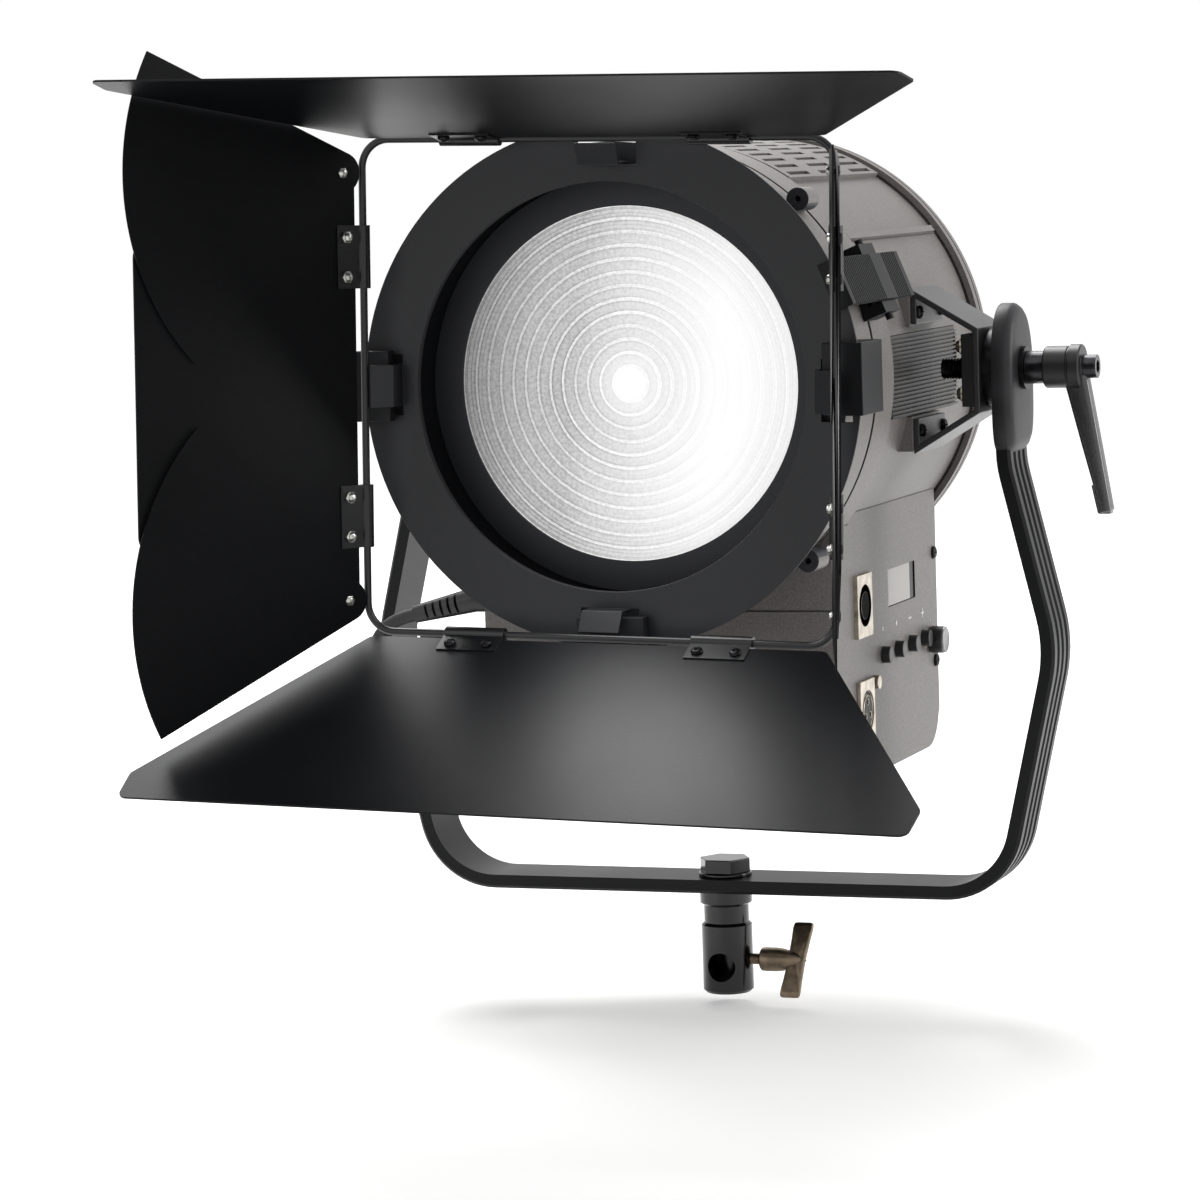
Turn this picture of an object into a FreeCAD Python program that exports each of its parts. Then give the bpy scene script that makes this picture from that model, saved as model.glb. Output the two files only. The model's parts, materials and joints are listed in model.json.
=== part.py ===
import FreeCAD, Part
import math
import os

V = FreeCAD.Vector
os.makedirs("parts", exist_ok=True)

# Head frame: origin on the tilt axis, X to the right, -Y to the front, Z up.
optical_rise = 1.5
fit_gap = 0.2
run_gap = 0.06
skin_gap = 0.3
overrun = 1.0

# Stirrup yoke, a grooved flat bar bent in one plane
bar_width = 36.0
bar_thick = 7.3
friction_disc_thick = 6.0
tab_straight_z = 48.5
elbow_out = 22.6
elbow_z = 142.5
corner_in = 5.3
bar_drop = 59.5
tab_bend_r = 60.0
elbow_r = 70.0
corner_r = 35.0
groove_width = 5.0
groove_pitch = 9.0
groove_deep = 1.1
bar_edge = 1.5

# Spigot receiver, its hex bolt and its wing screw
receiver_high = 54.7
receiver_r = 13.4
neck_r = 11.9
collar_r = 13.8
body_top_z = 36.0
neck_top_z = 46.5
socket_r = 8.0
socket_deep = 35.0
lower_chamfer = 1.5
sight_hole_r = 7.6
sight_hole_z = 14.6
clamp_bolt_r = 6.0
clamp_bolt_deep = 12.0
hex_across = 24.0
hex_high = 7.5
hex_washer_r = 14.0
hex_washer_high = 2.0
wing_z = 17.5
wing_stem_r = 3.0
wing_hub_r = 6.35
wing_hub_x0 = 19.0
wing_hub_x1 = 28.0
wing_x0 = 27.0
wing_x1 = 45.0
wing_tall = 41.0
wing_thick = 3.5
wing_turn_angle = 25.0

# Tilt pivots
m10_r = 5.0
bolt_inner_gap = 9.5
bolt_short = 1.0
disc_r = 20.0
outer_washer_r = 11.0
outer_washer_thick = 2.3
cover_half_y = 24.0
cover_foot_y = 19.5
cover_top_z = 33.0
cover_foot_z = 43.0
cover_thick = 3.2
nut_across = 17.0
nut_high = 8.5

# Clamping lever
lever_neck_r = 8.4
lever_neck_long = 12.0
lever_hub_r = 10.7
lever_hub_long = 13.0
lever_cap_r = 11.5
lever_cap_long = 6.5
lever_core_r = 6.5
lever_end_r = 6.0
lever_end_long = 7.5
lever_socket_r = 3.0
lever_socket_deep = 5.0
lever_tip_out = 4.0
lever_tip_z = 75.0
lever_root_wide = 13.0
lever_tip_wide = 5.5
lever_root_deep = 8.0
lever_tip_deep = 10.0

# Side brackets with their clamp blocks
sheet = 3.0
bracket_half_y = 25.0
foot_stand = 0.2
foot_inner_z = 24.0
foot_outer_z = 38.0
bracket_high = 35.0
plate_half_z = 20.5
block_thick = 7.0
block_half_y = 22.0
block_half_z = 18.4
block_nut_y = 15.0
block_nut_z = 12.0
block_nut_r = 3.5
block_nut_high = 4.0
foot_screw_y = 20.0
foot_screw_z = 30.0
foot_screw_r = 3.4
foot_screw_high = 2.4

# Drum housing
drum_r = 116.3
drum_wall = 2.5
drum_y0 = -68.0
drum_y1 = 98.7
split_angle = 55.5
ridge_angle = 53.7
ridge_high = 2.7
ridge_y0 = -66.0
ridge_y1 = 92.0
vent_angle = 33.8
vent_y0 = -62.0
vent_y1 = 96.0
slot_long = 35.0
slot_high = 3.0
slot_pitch_y = 54.0
slot_pitch_angle = 3.55
slot_rows = 9
pad_inner_z = 22.8
pad_outer_z = 40.5
pad_half_y = 27.0
pad_sink = 8.3

# Ribbed side panels
ribbed_half_y = 62.0
ribbed_z0 = -22.0
ribbed_z1 = 19.5
ribbed_sink = 4.0
ribbed_thick = 2.7
rib_pitch = 2.1
rib_thick = 1.0
rib_high = 1.5

# Front bezel, its bosses and the lens
bezel_step = 3.2
bezel_wall = 3.0
bezel_front_y = -150.0
bezel_rear_y = -68.0
bezel_lip = 15.5
bezel_groove_y = -100.0
bezel_groove = 3.0
bezel_groove_deep = 1.6
boss_r = 5.7
boss_hole_r = 1.6
boss_hole_deep = 8.0
boss_y0 = -122.0
boss_y1 = -104.0
lens_border = 13.65
lens_front_y = -125.7
lens_thick = 6.0
lens_rings = 14
lens_step = 1.4
seat_lap = 4.35
seat_thick = 3.0
keeper_gap = 1.0
keeper_lap = 2.35
keeper_thick = 2.2

# Rear cover and its grille
rear_step = 4.3
rear_front_y = 99.0
rear_rim_y = 110.7
rear_face_y = 121.0
rear_bevel = 9.6
rear_wall = 3.0
grille_inner_r = 14.0
grille_outer_r = 43.0
grille_slot = 5.0
grille_count = 16

# Control box under the drum
box_half_x = 93.0
box_y0 = -96.5
box_y1 = 94.0
box_under = 35.0
box_top_z = -60.0
box_wall = 2.5
box_rear_r = 22.0
box_front_r = 5.0
box_line_rise = 2.0
box_line = 1.2
lid_thick = 4.5
lid_inset = 1.0
panel_screw_y = 89.0
panel_screw_rise = 14.0
panel_screw_pitch = 58.0
panel_screw_r = 3.5
panel_screw_high = 1.8

# Control panel on the right wall
window_y0 = 0.8
window_y1 = 54.0
window_drop = 8.1
window_high = 21.9
window_deep = 7.0
window_lip = 1.2
power_y = -47.5
power_drop = 0.7
power_half_y = 13.0
power_half_z = 16.0
data_y = -47.0
socket_pitch = 54.0
data_half_y = 12.5
data_half_z = 16.0
socket_face_r = 12.0
socket_flange = 2.2
socket_body_deep = 22.0
socket_recess = 16.0
socket_core_r = 7.0
pin_hole_r = 1.4
pin_circle_r = 4.6
release_y = -27.5
release_rise = 12.4
release_r = 3.5
release_proud = 3.0
button_ys = (-10.0, 15.5, 41.0, 65.5)
button_drop = 22.1
button_r = 4.35
button_proud = 4.5
button_flange = 1.0
button_flange_thick = 1.5
button_rest_gap = 0.3
knob_y = 80.5
knob_drop = 2.5
knob_r = 7.2
knob_proud = 8.5
knob_shaft_r = 3.0
knob_shaft_deep = 10.0
knob_mark = 1.0

# Inner works
bulkhead_gap = 0.4
bulkhead_thick = 3.0
front_bulk_y = -62.0
rear_bulk_y = 86.0
window_border = 14.0
fan_opening_r = 44.0
rod_r = 4.0
rod_in = 25.4
carriage_thick = 5.0
carriage_y = 20.0
carriage_ear = 9.0
carriage_half_z = 18.0
fin_half_x = 62.0
fin_half_z = 58.0
fin_pitch = 8.0
fin_thick = 2.0
fin_deep = 34.0
screw_r = 3.5
screw_z = -80.0
screw_y0 = -61.0
screw_lug_half = 9.0
focus_knob_r = 15.0
focus_knob_y0 = 121.3
focus_knob_y1 = 137.0
focus_knob_flats = 12
emitter_r = 24.0
emitter_thick = 2.0
reflector_r0 = 14.0
reflector_r1 = 34.0
reflector_long = 26.0
reflector_wall = 1.5
fan_half = 46.0
fan_thick = 20.0
fan_duct_r = 43.5
fan_hub_r = 18.0
fan_blade_r = 41.5
fan_blades = 7
fan_blade_thick = 2.0
fan_pin_r = 2.5
strut_wide = 6.0
strut_thick = 3.0
supply_gap = 31.0
supply_y0 = -62.0
supply_y1 = 62.0
supply_high = 42.0
supply_fin_pitch = 12.0
supply_fin = 3.0
supply_fin_high = 10.0
board_gap = 14.0
board_thick = 1.6
board_y0 = -20.0
board_y1 = 88.0
board_rise = 18.0
board_high = 90.0
post_r = 3.0

# Barn-door set, turned a little about the optical axis
barn_roll_angle = 1.54
ring_step = 9.1
ring_wide = 28.2
ring_ahead = 6.8
ring_thick = 1.5
ring_lip = 4.0
ring_notch_half = 15.0
ring_tab_half = 10.5
tab_root_in = 8.9
tab_ahead = 11.2
tab_thick = 1.5
wire_r = 1.85
tab_reach = 12.1
wire_ahead = 6.2
wire_corner_r = 14.0
door_thick = 1.0
door_start = 5.2
wide_hinge_in = 3.7
wide_outer_half = 196.2
wide_side_len = 131.5
wide_chamfer = 1.5
wide_len = 151.6
wide_corner_r = 5.0
side_hinge_in = 6.4
side_outer_half = 72.0
side_len = 132.4
side_shoulder = 24.0
side_corner_r = 8.0
top_open_angle = 10.8
bottom_open_angle = 26.2
left_open_angle = 32.4
right_open_angle = 17.5
clip_centre = 64.0
clip_long = 31.0
clip_sleeve_r = 3.5
clip_len = 16.0
clip_thick = 0.8
clip_screw_pitch = 9.7
clip_screw_at = 11.0
clip_shank_r = 1.5
clip_nut_r = 3.0
clip_nut_high = 2.2
leaf_r = 125.3
leaf_border = 10.0
leaf_upper_angle = 28.0
leaf_lower_angle = 46.0
leaf_thick = 0.8
leaf_fold_angle = 22.0
leaf_pivot_at = 13.1
leaf_pivot_in = 9.7
leaf_layer = 1.5
rivet_r = 1.6
rivet_head_r = 4.5
rivet_head_high = 1.6

# Ears that carry the barn-door ring, and the top latch
ear_half = 17.5
ear_offset = 2.7
ear_wall = 2.6
ear_lap = 16.6
ear_ahead = 9.2
ear_lip_ahead = 2.2
ear_gap = 0.8
ear_slot_behind = 5.8
ear_long = 19.0
latch_angle = 68.0
latch_half = 12.0
latch_clear = 0.7
latch_thick = 3.2
latch_ahead = 4.7
latch_lap = 5.6
latch_hook_ahead = 2.4
latch_pin_y = -95.0
latch_pin_r = 2.0
latch_pin_half = 21.0
latch_rear_y = -54.0
latch_base_half = 18.0
latch_base_y0 = -108.0
latch_base_y1 = -84.0
latch_groove = 1.2
latch_groove_pitch = 3.0

# Cable gland and the lead
lead_r = 3.5
gland_y = -70.0
gland_z = -112.0
gland_nut_r = 9.0
gland_nut_long = 6.0
gland_body_r = 6.5
gland_long = 15.0
relief_slope_angle = 13.0
relief_long = 35.0
relief_end_r = 4.6
relief_groove = 1.4
relief_grooves = 5
lead_route = (
    (-163.0, -70.0, -130.3),
    (-167.5, -69.8, -141.4),
    (-166.6, -69.4, -154.4),
    (-161.3, -68.6, -166.3),
)
lead_exit = 12.0
lead_approach = 14.0
bend_share = 0.45
coil_x = -153.0
coil_r = 42.0
coil_pitch = 8.6
coil_turns = 1.5
coil_layers = 4
coil_short = 1.5
coil_start_angle = 20.0
coil_start_y = -61.0
coil_start_z = -198.0
coil_lead = 7.0
plug_half_x = 14.0
plug_half_y = 8.0
plug_long = 34.0
plug_neck = 25.0
plug_pin_r = 2.4
plug_pin_long = 19.0
plug_pin_pitch = 9.5
tie_gap = 0.4
tie_thick = 1.6
tie_wide = 9.0

full_turn = 360.0

# Places worked out from the sizes above
power_z = -drum_r - power_drop
data_z = power_z - socket_pitch
window_z0 = -drum_r - window_drop
window_z1 = window_z0 + window_high
release_z = data_z + release_rise
button_z = window_z0 - button_drop
knob_z = button_z - knob_drop
panel_screw_upper_z = power_z + panel_screw_rise
panel_screw_lower_z = panel_screw_upper_z - panel_screw_pitch
box_line_z = power_z + box_line_rise
box_bottom_z = data_z - box_under
board_z0 = box_bottom_z + board_rise
board_z1 = board_z0 + board_high
supply_half_x = box_half_x - supply_gap
bar_inner_z = bar_drop - box_bottom_z
pivot_height = bar_inner_z + bar_thick + receiver_high
foot_x = drum_r + foot_stand
plate_outer_x = foot_x + bracket_high
tab_inner_x = plate_outer_x + friction_disc_thick
elbow_x = tab_inner_x + elbow_out
corner_x = tab_inner_x - corner_in
cover_inner_x = tab_inner_x - fit_gap
cover_outer_x = tab_inner_x + bar_thick + cover_thick
lever_neck_x = cover_outer_x + lever_neck_long
lever_hub_x = lever_neck_x + lever_hub_long
lever_cap_x = lever_hub_x + lever_cap_long
lever_end_x = lever_cap_x + lever_end_long
lever_tip_x = lever_end_x + lever_tip_out
bolt_inner_x = foot_x + bolt_inner_gap
bolt_outer_x = lever_hub_x - bolt_short
pad_inner_x = drum_r - pad_sink
ribbed_x0 = drum_r - ribbed_sink
ribbed_x1 = ribbed_x0 + ribbed_thick
bulkhead_r = drum_r - drum_wall - bulkhead_gap
rod_x = bulkhead_r - rod_in
carriage_half_x = rod_x + carriage_ear
front_window_r = rod_x - window_border
rear_r = drum_r + rear_step
rear_face_r = rear_r - rear_bevel
bezel_r = drum_r + bezel_step
bezel_mouth_r = bezel_r - bezel_lip
boss_circle_r = bezel_r + boss_r
lens_r = bezel_mouth_r - lens_border
seat_inner_r = lens_r - seat_lap
keeper_outer_r = bezel_mouth_r - keeper_gap
keeper_inner_r = lens_r - keeper_lap
ring_outer_r = bezel_r + ring_step
ring_inner_r = ring_outer_r - ring_wide
tab_root_r = ring_inner_r + tab_root_in
wire_half = tab_root_r + tab_reach
ring_front_y = bezel_front_y - ring_ahead
tab_front_y = ring_front_y - tab_ahead
wire_y = tab_front_y - wire_ahead
wide_hinge_half = wire_half - wide_hinge_in
wide_front_half = wide_outer_half - wide_chamfer
side_hinge_half = wire_half - side_hinge_in
leaf_pivot_half = side_hinge_half - leaf_pivot_in
ear_slot_r = ring_outer_r + ear_gap
ear_outer_r = ear_slot_r + ear_wall
ear_lip_r = ring_outer_r - ear_lap
ear_front_y = ring_front_y - ear_ahead
ear_lip_y = ring_front_y - ear_lip_ahead
ear_slot_y = ring_front_y + ear_slot_behind
ear_rear_y = bezel_front_y + ear_long
latch_plate_r = ring_outer_r + latch_clear
latch_hook_r = ring_outer_r - latch_lap
latch_front_y = ring_front_y - latch_ahead
latch_hook_y = ring_front_y - latch_hook_ahead
board_x = box_half_x - board_gap
gland_nut_x = box_half_x + gland_nut_long
gland_body_x = box_half_x + gland_long

nodes = {}


def block(x0, x1, y0, y1, z0, z1):
    return Part.makeBox(x1 - x0, y1 - y0, z1 - z0, V(x0, y0, z0))


def disc(centre, axis, radius, length):
    return Part.makeCylinder(radius, length, V(*centre), V(*axis))


def pipe(centre, axis, outer, inner, length):
    return disc(centre, axis, outer, length).cut(disc(centre, axis, inner, length))


def ring(y0, y1, outer, inner):
    return pipe((0, y0, 0), (0, 1, 0), outer, inner, y1 - y0)


def face_of(points):
    corners = [V(*p) for p in points]
    return Part.Face(Part.makePolygon(corners + corners[:1]))


def prism_xz(points, y0, y1):
    return face_of([(x, y0, z) for x, z in points]).extrude(V(0, y1 - y0, 0))


def prism_yz(points, x0, x1):
    return face_of([(x0, y, z) for y, z in points]).extrude(V(x1 - x0, 0, 0))


def turned_y(points):
    return face_of([(r, y, 0) for r, y in points]).revolve(V(0, 0, 0), V(0, 1, 0), full_turn)


def turned_z(points):
    return face_of([(r, 0, z) for r, z in points]).revolve(V(0, 0, 0), V(0, 0, 1), full_turn)


def moved(shape, x=0, y=0, z=0):
    copy = shape.copy()
    copy.translate(V(x, y, z))
    return copy


def turned(shape, axis, angle, centre=(0, 0, 0)):
    copy = shape.copy()
    copy.rotate(V(*centre), V(*axis), angle)
    return copy


def flipped(shape):
    return shape.mirror(V(0, 0, 0), V(1, 0, 0))


def both_sides(shape):
    return [shape, flipped(shape)]


def hexagon(across, z0, z1):
    radius = across / math.sqrt(3)
    corners = []
    for k in range(6):
        angle = math.radians(full_turn * k / 6)
        corners.append((radius * math.cos(angle), radius * math.sin(angle), z0))
    return face_of(corners).extrude(V(0, 0, z1 - z0))


def wedge(angle0, angle1, radius, y0, y1):
    """Sector about the optical axis, angles from the top towards +X."""
    middle = (angle0 + angle1) / 2
    reach = radius / math.cos(math.radians((angle1 - angle0) / 4))
    points = [(0, 0)]
    for angle in (angle0, middle, angle1):
        turn = math.radians(angle)
        points.append((reach * math.sin(turn), reach * math.cos(turn)))
    return prism_xz(points, y0, y1)


def corner_path(points, radii):
    """Straight runs joined by tangent arcs; one radius for each inner point."""
    edges = []
    start = points[0]
    for here, before, after, radius in zip(points[1:-1], points[:-2], points[2:], radii):
        into = (here - before).normalize()
        out = (after - here).normalize()
        turn = into.getAngle(out)
        back = radius * math.tan(turn / 2)
        first = here - into * back
        last = here + out * back
        inward = (out - into).normalize()
        middle = here + inward * (radius / math.cos(turn / 2) - radius)
        edges.append(Part.LineSegment(start, first).toShape())
        edges.append(Part.Arc(first, middle, last).toShape())
        start = last
    edges.append(Part.LineSegment(start, points[-1]).toShape())
    return edges


def rounded_outline(points, radii):
    """Closed outline from the middle of its first side, each corner rounded."""
    corners = [V(*p) for p in points]
    begin = (corners[-1] + corners[0]) * (1 / 2)
    return Part.Wire(corner_path([begin] + corners + [begin], radii))


def rounded_prism(points, radii, vector):
    return Part.Face(rounded_outline(points, radii)).extrude(vector)


def ribbon(points, thick):
    """Outline of a bent sheet that follows the points at half its thickness each side."""
    sides = []
    for sign in (1, -1):
        side = []
        for k, here in enumerate(points):
            before = points[max(k - 1, 0)]
            after = points[min(k + 1, len(points) - 1)]
            if k == 0:
                before = (here[0] * 2 - after[0], here[1] * 2 - after[1])
            if k == len(points) - 1:
                after = (here[0] * 2 - before[0], here[1] * 2 - before[1])
            a = V(here[0] - before[0], here[1] - before[1], 0).normalize()
            b = V(after[0] - here[0], after[1] - here[1], 0).normalize()
            normal = V(-a.y - b.y, a.x + b.x, 0).normalize()
            reach = sign * thick / 2 / (normal.x * -a.y + normal.y * a.x)
            side.append((here[0] + normal.x * reach, here[1] + normal.y * reach))
        sides.append(side)
    return sides[0] + sides[1][::-1]


def keep(name, shapes, rise=0, roll=0):
    solids = []
    for shape in shapes:
        for solid in shape.Solids:
            part = turned(solid, (0, 1, 0), roll)
            solids.append(moved(part, z=pivot_height + rise))
    nodes[name] = Part.makeCompound(solids)


def keep_optical(name, shapes):
    keep(name, shapes, optical_rise)


def keep_barn(name, shapes):
    keep(name, shapes, optical_rise, barn_roll_angle)


def make_yoke():
    z_top = 0
    right = [
        V(corner_x, 0, -bar_inner_z),
        V(elbow_x, 0, -elbow_z),
        V(tab_inner_x, 0, -tab_straight_z),
        V(tab_inner_x, 0, z_top),
    ]
    left = [V(-p.x, 0, p.z) for p in reversed(right)]
    radii = [tab_bend_r, elbow_r, corner_r, corner_r, elbow_r, tab_bend_r]
    path = Part.Wire(corner_path(left + right, radii))
    half = bar_width / 2
    outline = [(0, -half), (0, half), (bar_thick - bar_edge, half), (bar_thick, half - bar_edge)]
    for k in (1, 0, -1):
        top = k * groove_pitch + groove_width / 2
        low = k * groove_pitch - groove_width / 2
        outline += [
            (bar_thick, top),
            (bar_thick - groove_deep, top - groove_deep),
            (bar_thick - groove_deep, low + groove_deep),
            (bar_thick, low),
        ]
    outline += [(bar_thick, bar_edge - half), (bar_thick - bar_edge, -half)]
    section = Part.makePolygon([V(-tab_inner_x - n, y, 0) for n, y in outline + outline[:1]])
    bar = path.makePipeShell([section], True, False)
    heads = []
    for side in (1, -1):
        x0 = tab_inner_x if side > 0 else -tab_inner_x - bar_thick
        heads.append(disc((x0, 0, 0), (1, 0, 0), half, bar_thick))
    bar = bar.fuse(heads)
    length = elbow_x * 2 + bar_thick * 4
    bar = bar.cut(disc((-length / 2, 0, 0), (1, 0, 0), m10_r + run_gap, length))
    drop = bar_inner_z + bar_thick + overrun
    bar = bar.cut(disc((0, 0, -drop), (0, 0, 1), clamp_bolt_r + run_gap, drop - elbow_z))
    keep("yoke", [bar.removeSplitter()])


def make_receiver():
    mouth = -pivot_height
    top = pivot_height - bar_inner_z - bar_thick
    outline = [
        (0, 0), (receiver_r - lower_chamfer, 0), (receiver_r, lower_chamfer),
        (receiver_r, body_top_z), (neck_r, body_top_z + lower_chamfer),
        (neck_r, neck_top_z), (collar_r, neck_top_z + lower_chamfer), (collar_r, top), (0, top),
    ]
    body = turned_z(outline)
    body = body.cut(disc((0, 0, -overrun), (0, 0, 1), socket_r, socket_deep + overrun))
    body = body.cut(disc((0, 0, top - clamp_bolt_deep - overrun), (0, 0, 1),
                         clamp_bolt_r + run_gap, clamp_bolt_deep + overrun * 2))
    body = body.cut(disc((0, -receiver_r - overrun, sight_hole_z), (0, 1, 0),
                         sight_hole_r, receiver_r + overrun))
    body = body.cut(disc((0, 0, wing_z), (1, 0, 0), wing_stem_r + run_gap, receiver_r + overrun))
    keep("receiver", [moved(body, z=mouth)])

    head_z = hex_washer_high - bar_inner_z
    washer = pipe((0, 0, -bar_inner_z), (0, 0, 1), hex_washer_r, clamp_bolt_r + run_gap,
                  hex_washer_high)
    bolt = hexagon(hex_across, head_z, head_z + hex_high)
    length = hex_washer_high + bar_thick + clamp_bolt_deep
    bolt = bolt.fuse(disc((0, 0, head_z - length), (0, 0, 1), clamp_bolt_r, length))
    keep("receiver_bolt", [washer, bolt])

    z = mouth + wing_z
    stem_x = socket_r + fit_gap
    screw = disc((stem_x, 0, z), (1, 0, 0), wing_stem_r, wing_x0 - stem_x)
    hub = Part.makeCone(wing_hub_r, wing_hub_r * 3 / 4, wing_hub_x1 - wing_hub_x0,
                        V(wing_hub_x0, 0, z), V(1, 0, 0))
    half = wing_tall / 2
    root = wing_hub_r / 2
    wing = [
        (wing_x0 - root, -root), (wing_x0 - root, root), (wing_x0 + root, half * 3 / 4),
        (wing_x1 - root, half), (wing_x1, half * 3 / 4), (wing_x1 - root, root),
        (wing_x1 - root * 2, 0), (wing_x1 - root, -root), (wing_x1, -half * 3 / 4),
        (wing_x1 - root, -half), (wing_x0 + root, -half * 3 / 4),
    ]
    blade = prism_xz([(x, z + dz) for x, dz in wing], -wing_thick / 2, wing_thick / 2)
    screw = screw.fuse([hub, blade])
    keep("wing_screw", [turned(screw, (1, 0, 0), -wing_turn_angle, (0, 0, z))])


def make_pivots():
    disc_x = plate_outer_x + fit_gap
    disc_long = tab_inner_x - fit_gap - disc_x
    hole = m10_r + run_gap
    inner = pipe((disc_x, 0, 0), (1, 0, 0), disc_r, hole, disc_long)
    outer_x = cover_outer_x + fit_gap / 2
    outer = pipe((outer_x, 0, 0), (1, 0, 0), outer_washer_r, hole, outer_washer_thick)
    keep("pivot_washers", both_sides(inner) + both_sides(outer))

    outline = [
        (-cover_foot_y, -cover_foot_z), (-cover_half_y, -cover_foot_y), (-cover_half_y, cover_foot_y),
        (-cover_half_y / 2, cover_top_z), (cover_half_y / 2, cover_top_z),
        (cover_half_y, cover_foot_y), (cover_half_y, -cover_foot_y), (cover_foot_y, -cover_foot_z),
    ]
    radii = [bar_edge * 2] + [cover_half_y / 3] * 6 + [bar_edge * 2]
    points = [(cover_inner_x, y, z) for y, z in outline]
    cover = rounded_prism(points, radii, V(cover_outer_x - cover_inner_x, 0, 0))
    half = bar_width / 2 + fit_gap
    pocket_x = tab_inner_x + bar_thick + fit_gap
    pocket = block(cover_inner_x - overrun, pocket_x, -half, half, -elbow_z, 0)
    pocket = pocket.fuse(disc((cover_inner_x - overrun, 0, 0), (1, 0, 0), half,
                              pocket_x - cover_inner_x + overrun))
    slope = block(pocket_x - overrun, cover_outer_x + overrun, -half, half, -elbow_z, -tab_straight_z)
    cover = cover.cut([pocket, slope])
    cover = cover.cut(disc((cover_inner_x, 0, 0), (1, 0, 0), hole, cover_outer_x))
    keep("knuckle_covers", both_sides(cover))

    right = disc((bolt_inner_x, 0, 0), (1, 0, 0), m10_r, bolt_outer_x - bolt_inner_x)
    nut_x = outer_x + outer_washer_thick + fit_gap / 2
    nut = turned(hexagon(nut_across, nut_x, nut_x + nut_high), (0, 1, 0), -full_turn / 4)
    left_end = nut_x + nut_high + sheet
    left = disc((-left_end, 0, 0), (1, 0, 0), m10_r, left_end - bolt_inner_x).fuse(nut)
    keep("pivot_bolts", [right, left])


def oval(centre, tangent, wide, deep):
    """Oval ring of four arcs, wide across the handle and deep along Y."""
    along = V(tangent[0], 0, tangent[1]).normalize()
    side = V(along.z, 0, -along.x) * (wide / 2)
    front = V(0, deep / 2, 0)
    middle = V(centre[0], 0, centre[1])
    diagonal = math.sqrt(1 / 2)
    arcs = []
    for a, b in ((side, front), (front, -side), (-side, -front), (-front, side)):
        arcs.append(Part.Arc(middle + a, middle + (a + b) * diagonal, middle + b).toShape())
    return Part.Wire(arcs)


def make_lever():
    start_x = cover_outer_x + outer_washer_thick + fit_gap
    bush = disc((start_x, 0, 0), (1, 0, 0), lever_neck_r, lever_neck_x - start_x)
    core = disc((start_x, 0, 0), (1, 0, 0), lever_core_r - run_gap, lever_cap_x - start_x)
    end = disc((lever_cap_x, 0, 0), (1, 0, 0), lever_end_r, lever_end_x - lever_cap_x)
    bush = bush.fuse([core, end])
    bore = disc((start_x - overrun, 0, 0), (1, 0, 0), m10_r + run_gap,
                bolt_outer_x + overrun * 2 - start_x)
    key = turned(hexagon(lever_socket_r * 2, lever_end_x - lever_socket_deep,
                         lever_end_x + overrun), (0, 1, 0), full_turn / 4)
    keep("lever_bush", [bush.cut([bore, key])])

    hub = disc((lever_neck_x, 0, 0), (1, 0, 0), lever_hub_r, lever_hub_x - lever_neck_x)
    cap = disc((lever_hub_x, 0, 0), (1, 0, 0), lever_cap_r, lever_cap_x - lever_hub_x)
    root_x = (lever_hub_x + lever_cap_x) / 2 - fit_gap * 2
    reach_share = (0.06, 0.3, 0.62, 1.0)
    lean_share = (0.0, 0.12, 0.5, 1.0)
    rings = []
    for down, lean in zip(reach_share, lean_share):
        x = root_x + (lever_tip_x - root_x) * lean
        wide = lever_root_wide + (lever_tip_wide - lever_root_wide) * down
        deep = lever_root_deep + (lever_tip_deep - lever_root_deep) * down
        fall = (lever_tip_x - root_x, -lever_tip_z * 2)
        rings.append(oval((x, -lever_tip_z * down), fall, wide, deep))
    handle = Part.makeLoft(rings, True, False)
    lever = hub.fuse([cap, handle])
    lever = lever.cut(disc((lever_neck_x - overrun, 0, 0), (1, 0, 0), lever_core_r,
                           lever_end_x - lever_neck_x))
    keep("clamp_lever", [lever])


def make_brackets():
    mid = sheet / 2
    foot = foot_x + mid
    outer = plate_outer_x - mid
    points = [(foot, foot_inner_z), (foot, foot_outer_z + mid), (outer, plate_half_z),
              (outer, -plate_half_z), (foot, -foot_outer_z - mid), (foot, -foot_inner_z)]
    hat = prism_xz(ribbon(points, sheet), -bracket_half_y, bracket_half_y)
    hat = hat.cut(disc((foot, 0, 0), (1, 0, 0), m10_r, plate_outer_x))
    keep("side_brackets", both_sides(hat))

    screws = []
    for y in (-foot_screw_y, foot_screw_y):
        for z in (-foot_screw_z, foot_screw_z):
            screws += both_sides(disc((foot_x + sheet, y, z), (1, 0, 0), foot_screw_r, foot_screw_high))
    for z in (panel_screw_upper_z, panel_screw_lower_z):
        screws += both_sides(disc((box_half_x, panel_screw_y, z), (1, 0, 0), panel_screw_r,
                                  panel_screw_high))
    keep("case_screws", screws)

    block_x = plate_outer_x - sheet
    clamp = block(block_x - block_thick, block_x, -block_half_y, block_half_y, -block_half_z,
                  block_half_z)
    clamp = clamp.cut(disc((foot, 0, 0), (1, 0, 0), m10_r, plate_outer_x))
    nuts = []
    for y in (-block_nut_y, block_nut_y):
        for z in (-block_nut_z, block_nut_z):
            x = block_x - block_thick - block_nut_high
            nuts += both_sides(disc((x, y, z), (1, 0, 0), block_nut_r, block_nut_high))
    keep("clamp_blocks", both_sides(clamp) + nuts)


def vent_slots():
    cutters = []
    for row in range(-slot_rows, slot_rows + 1):
        for k in (-1, 0, 1):
            y = (vent_y0 + vent_y1) / 2 + k * slot_pitch_y
            slot = block(-slot_high / 2, slot_high / 2, y - slot_long / 2, y + slot_long / 2,
                         drum_r - drum_wall * 2, drum_r + ridge_high * 2)
            cutters.append(turned(slot, (0, 1, 0), row * slot_pitch_angle))
    return cutters


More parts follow.
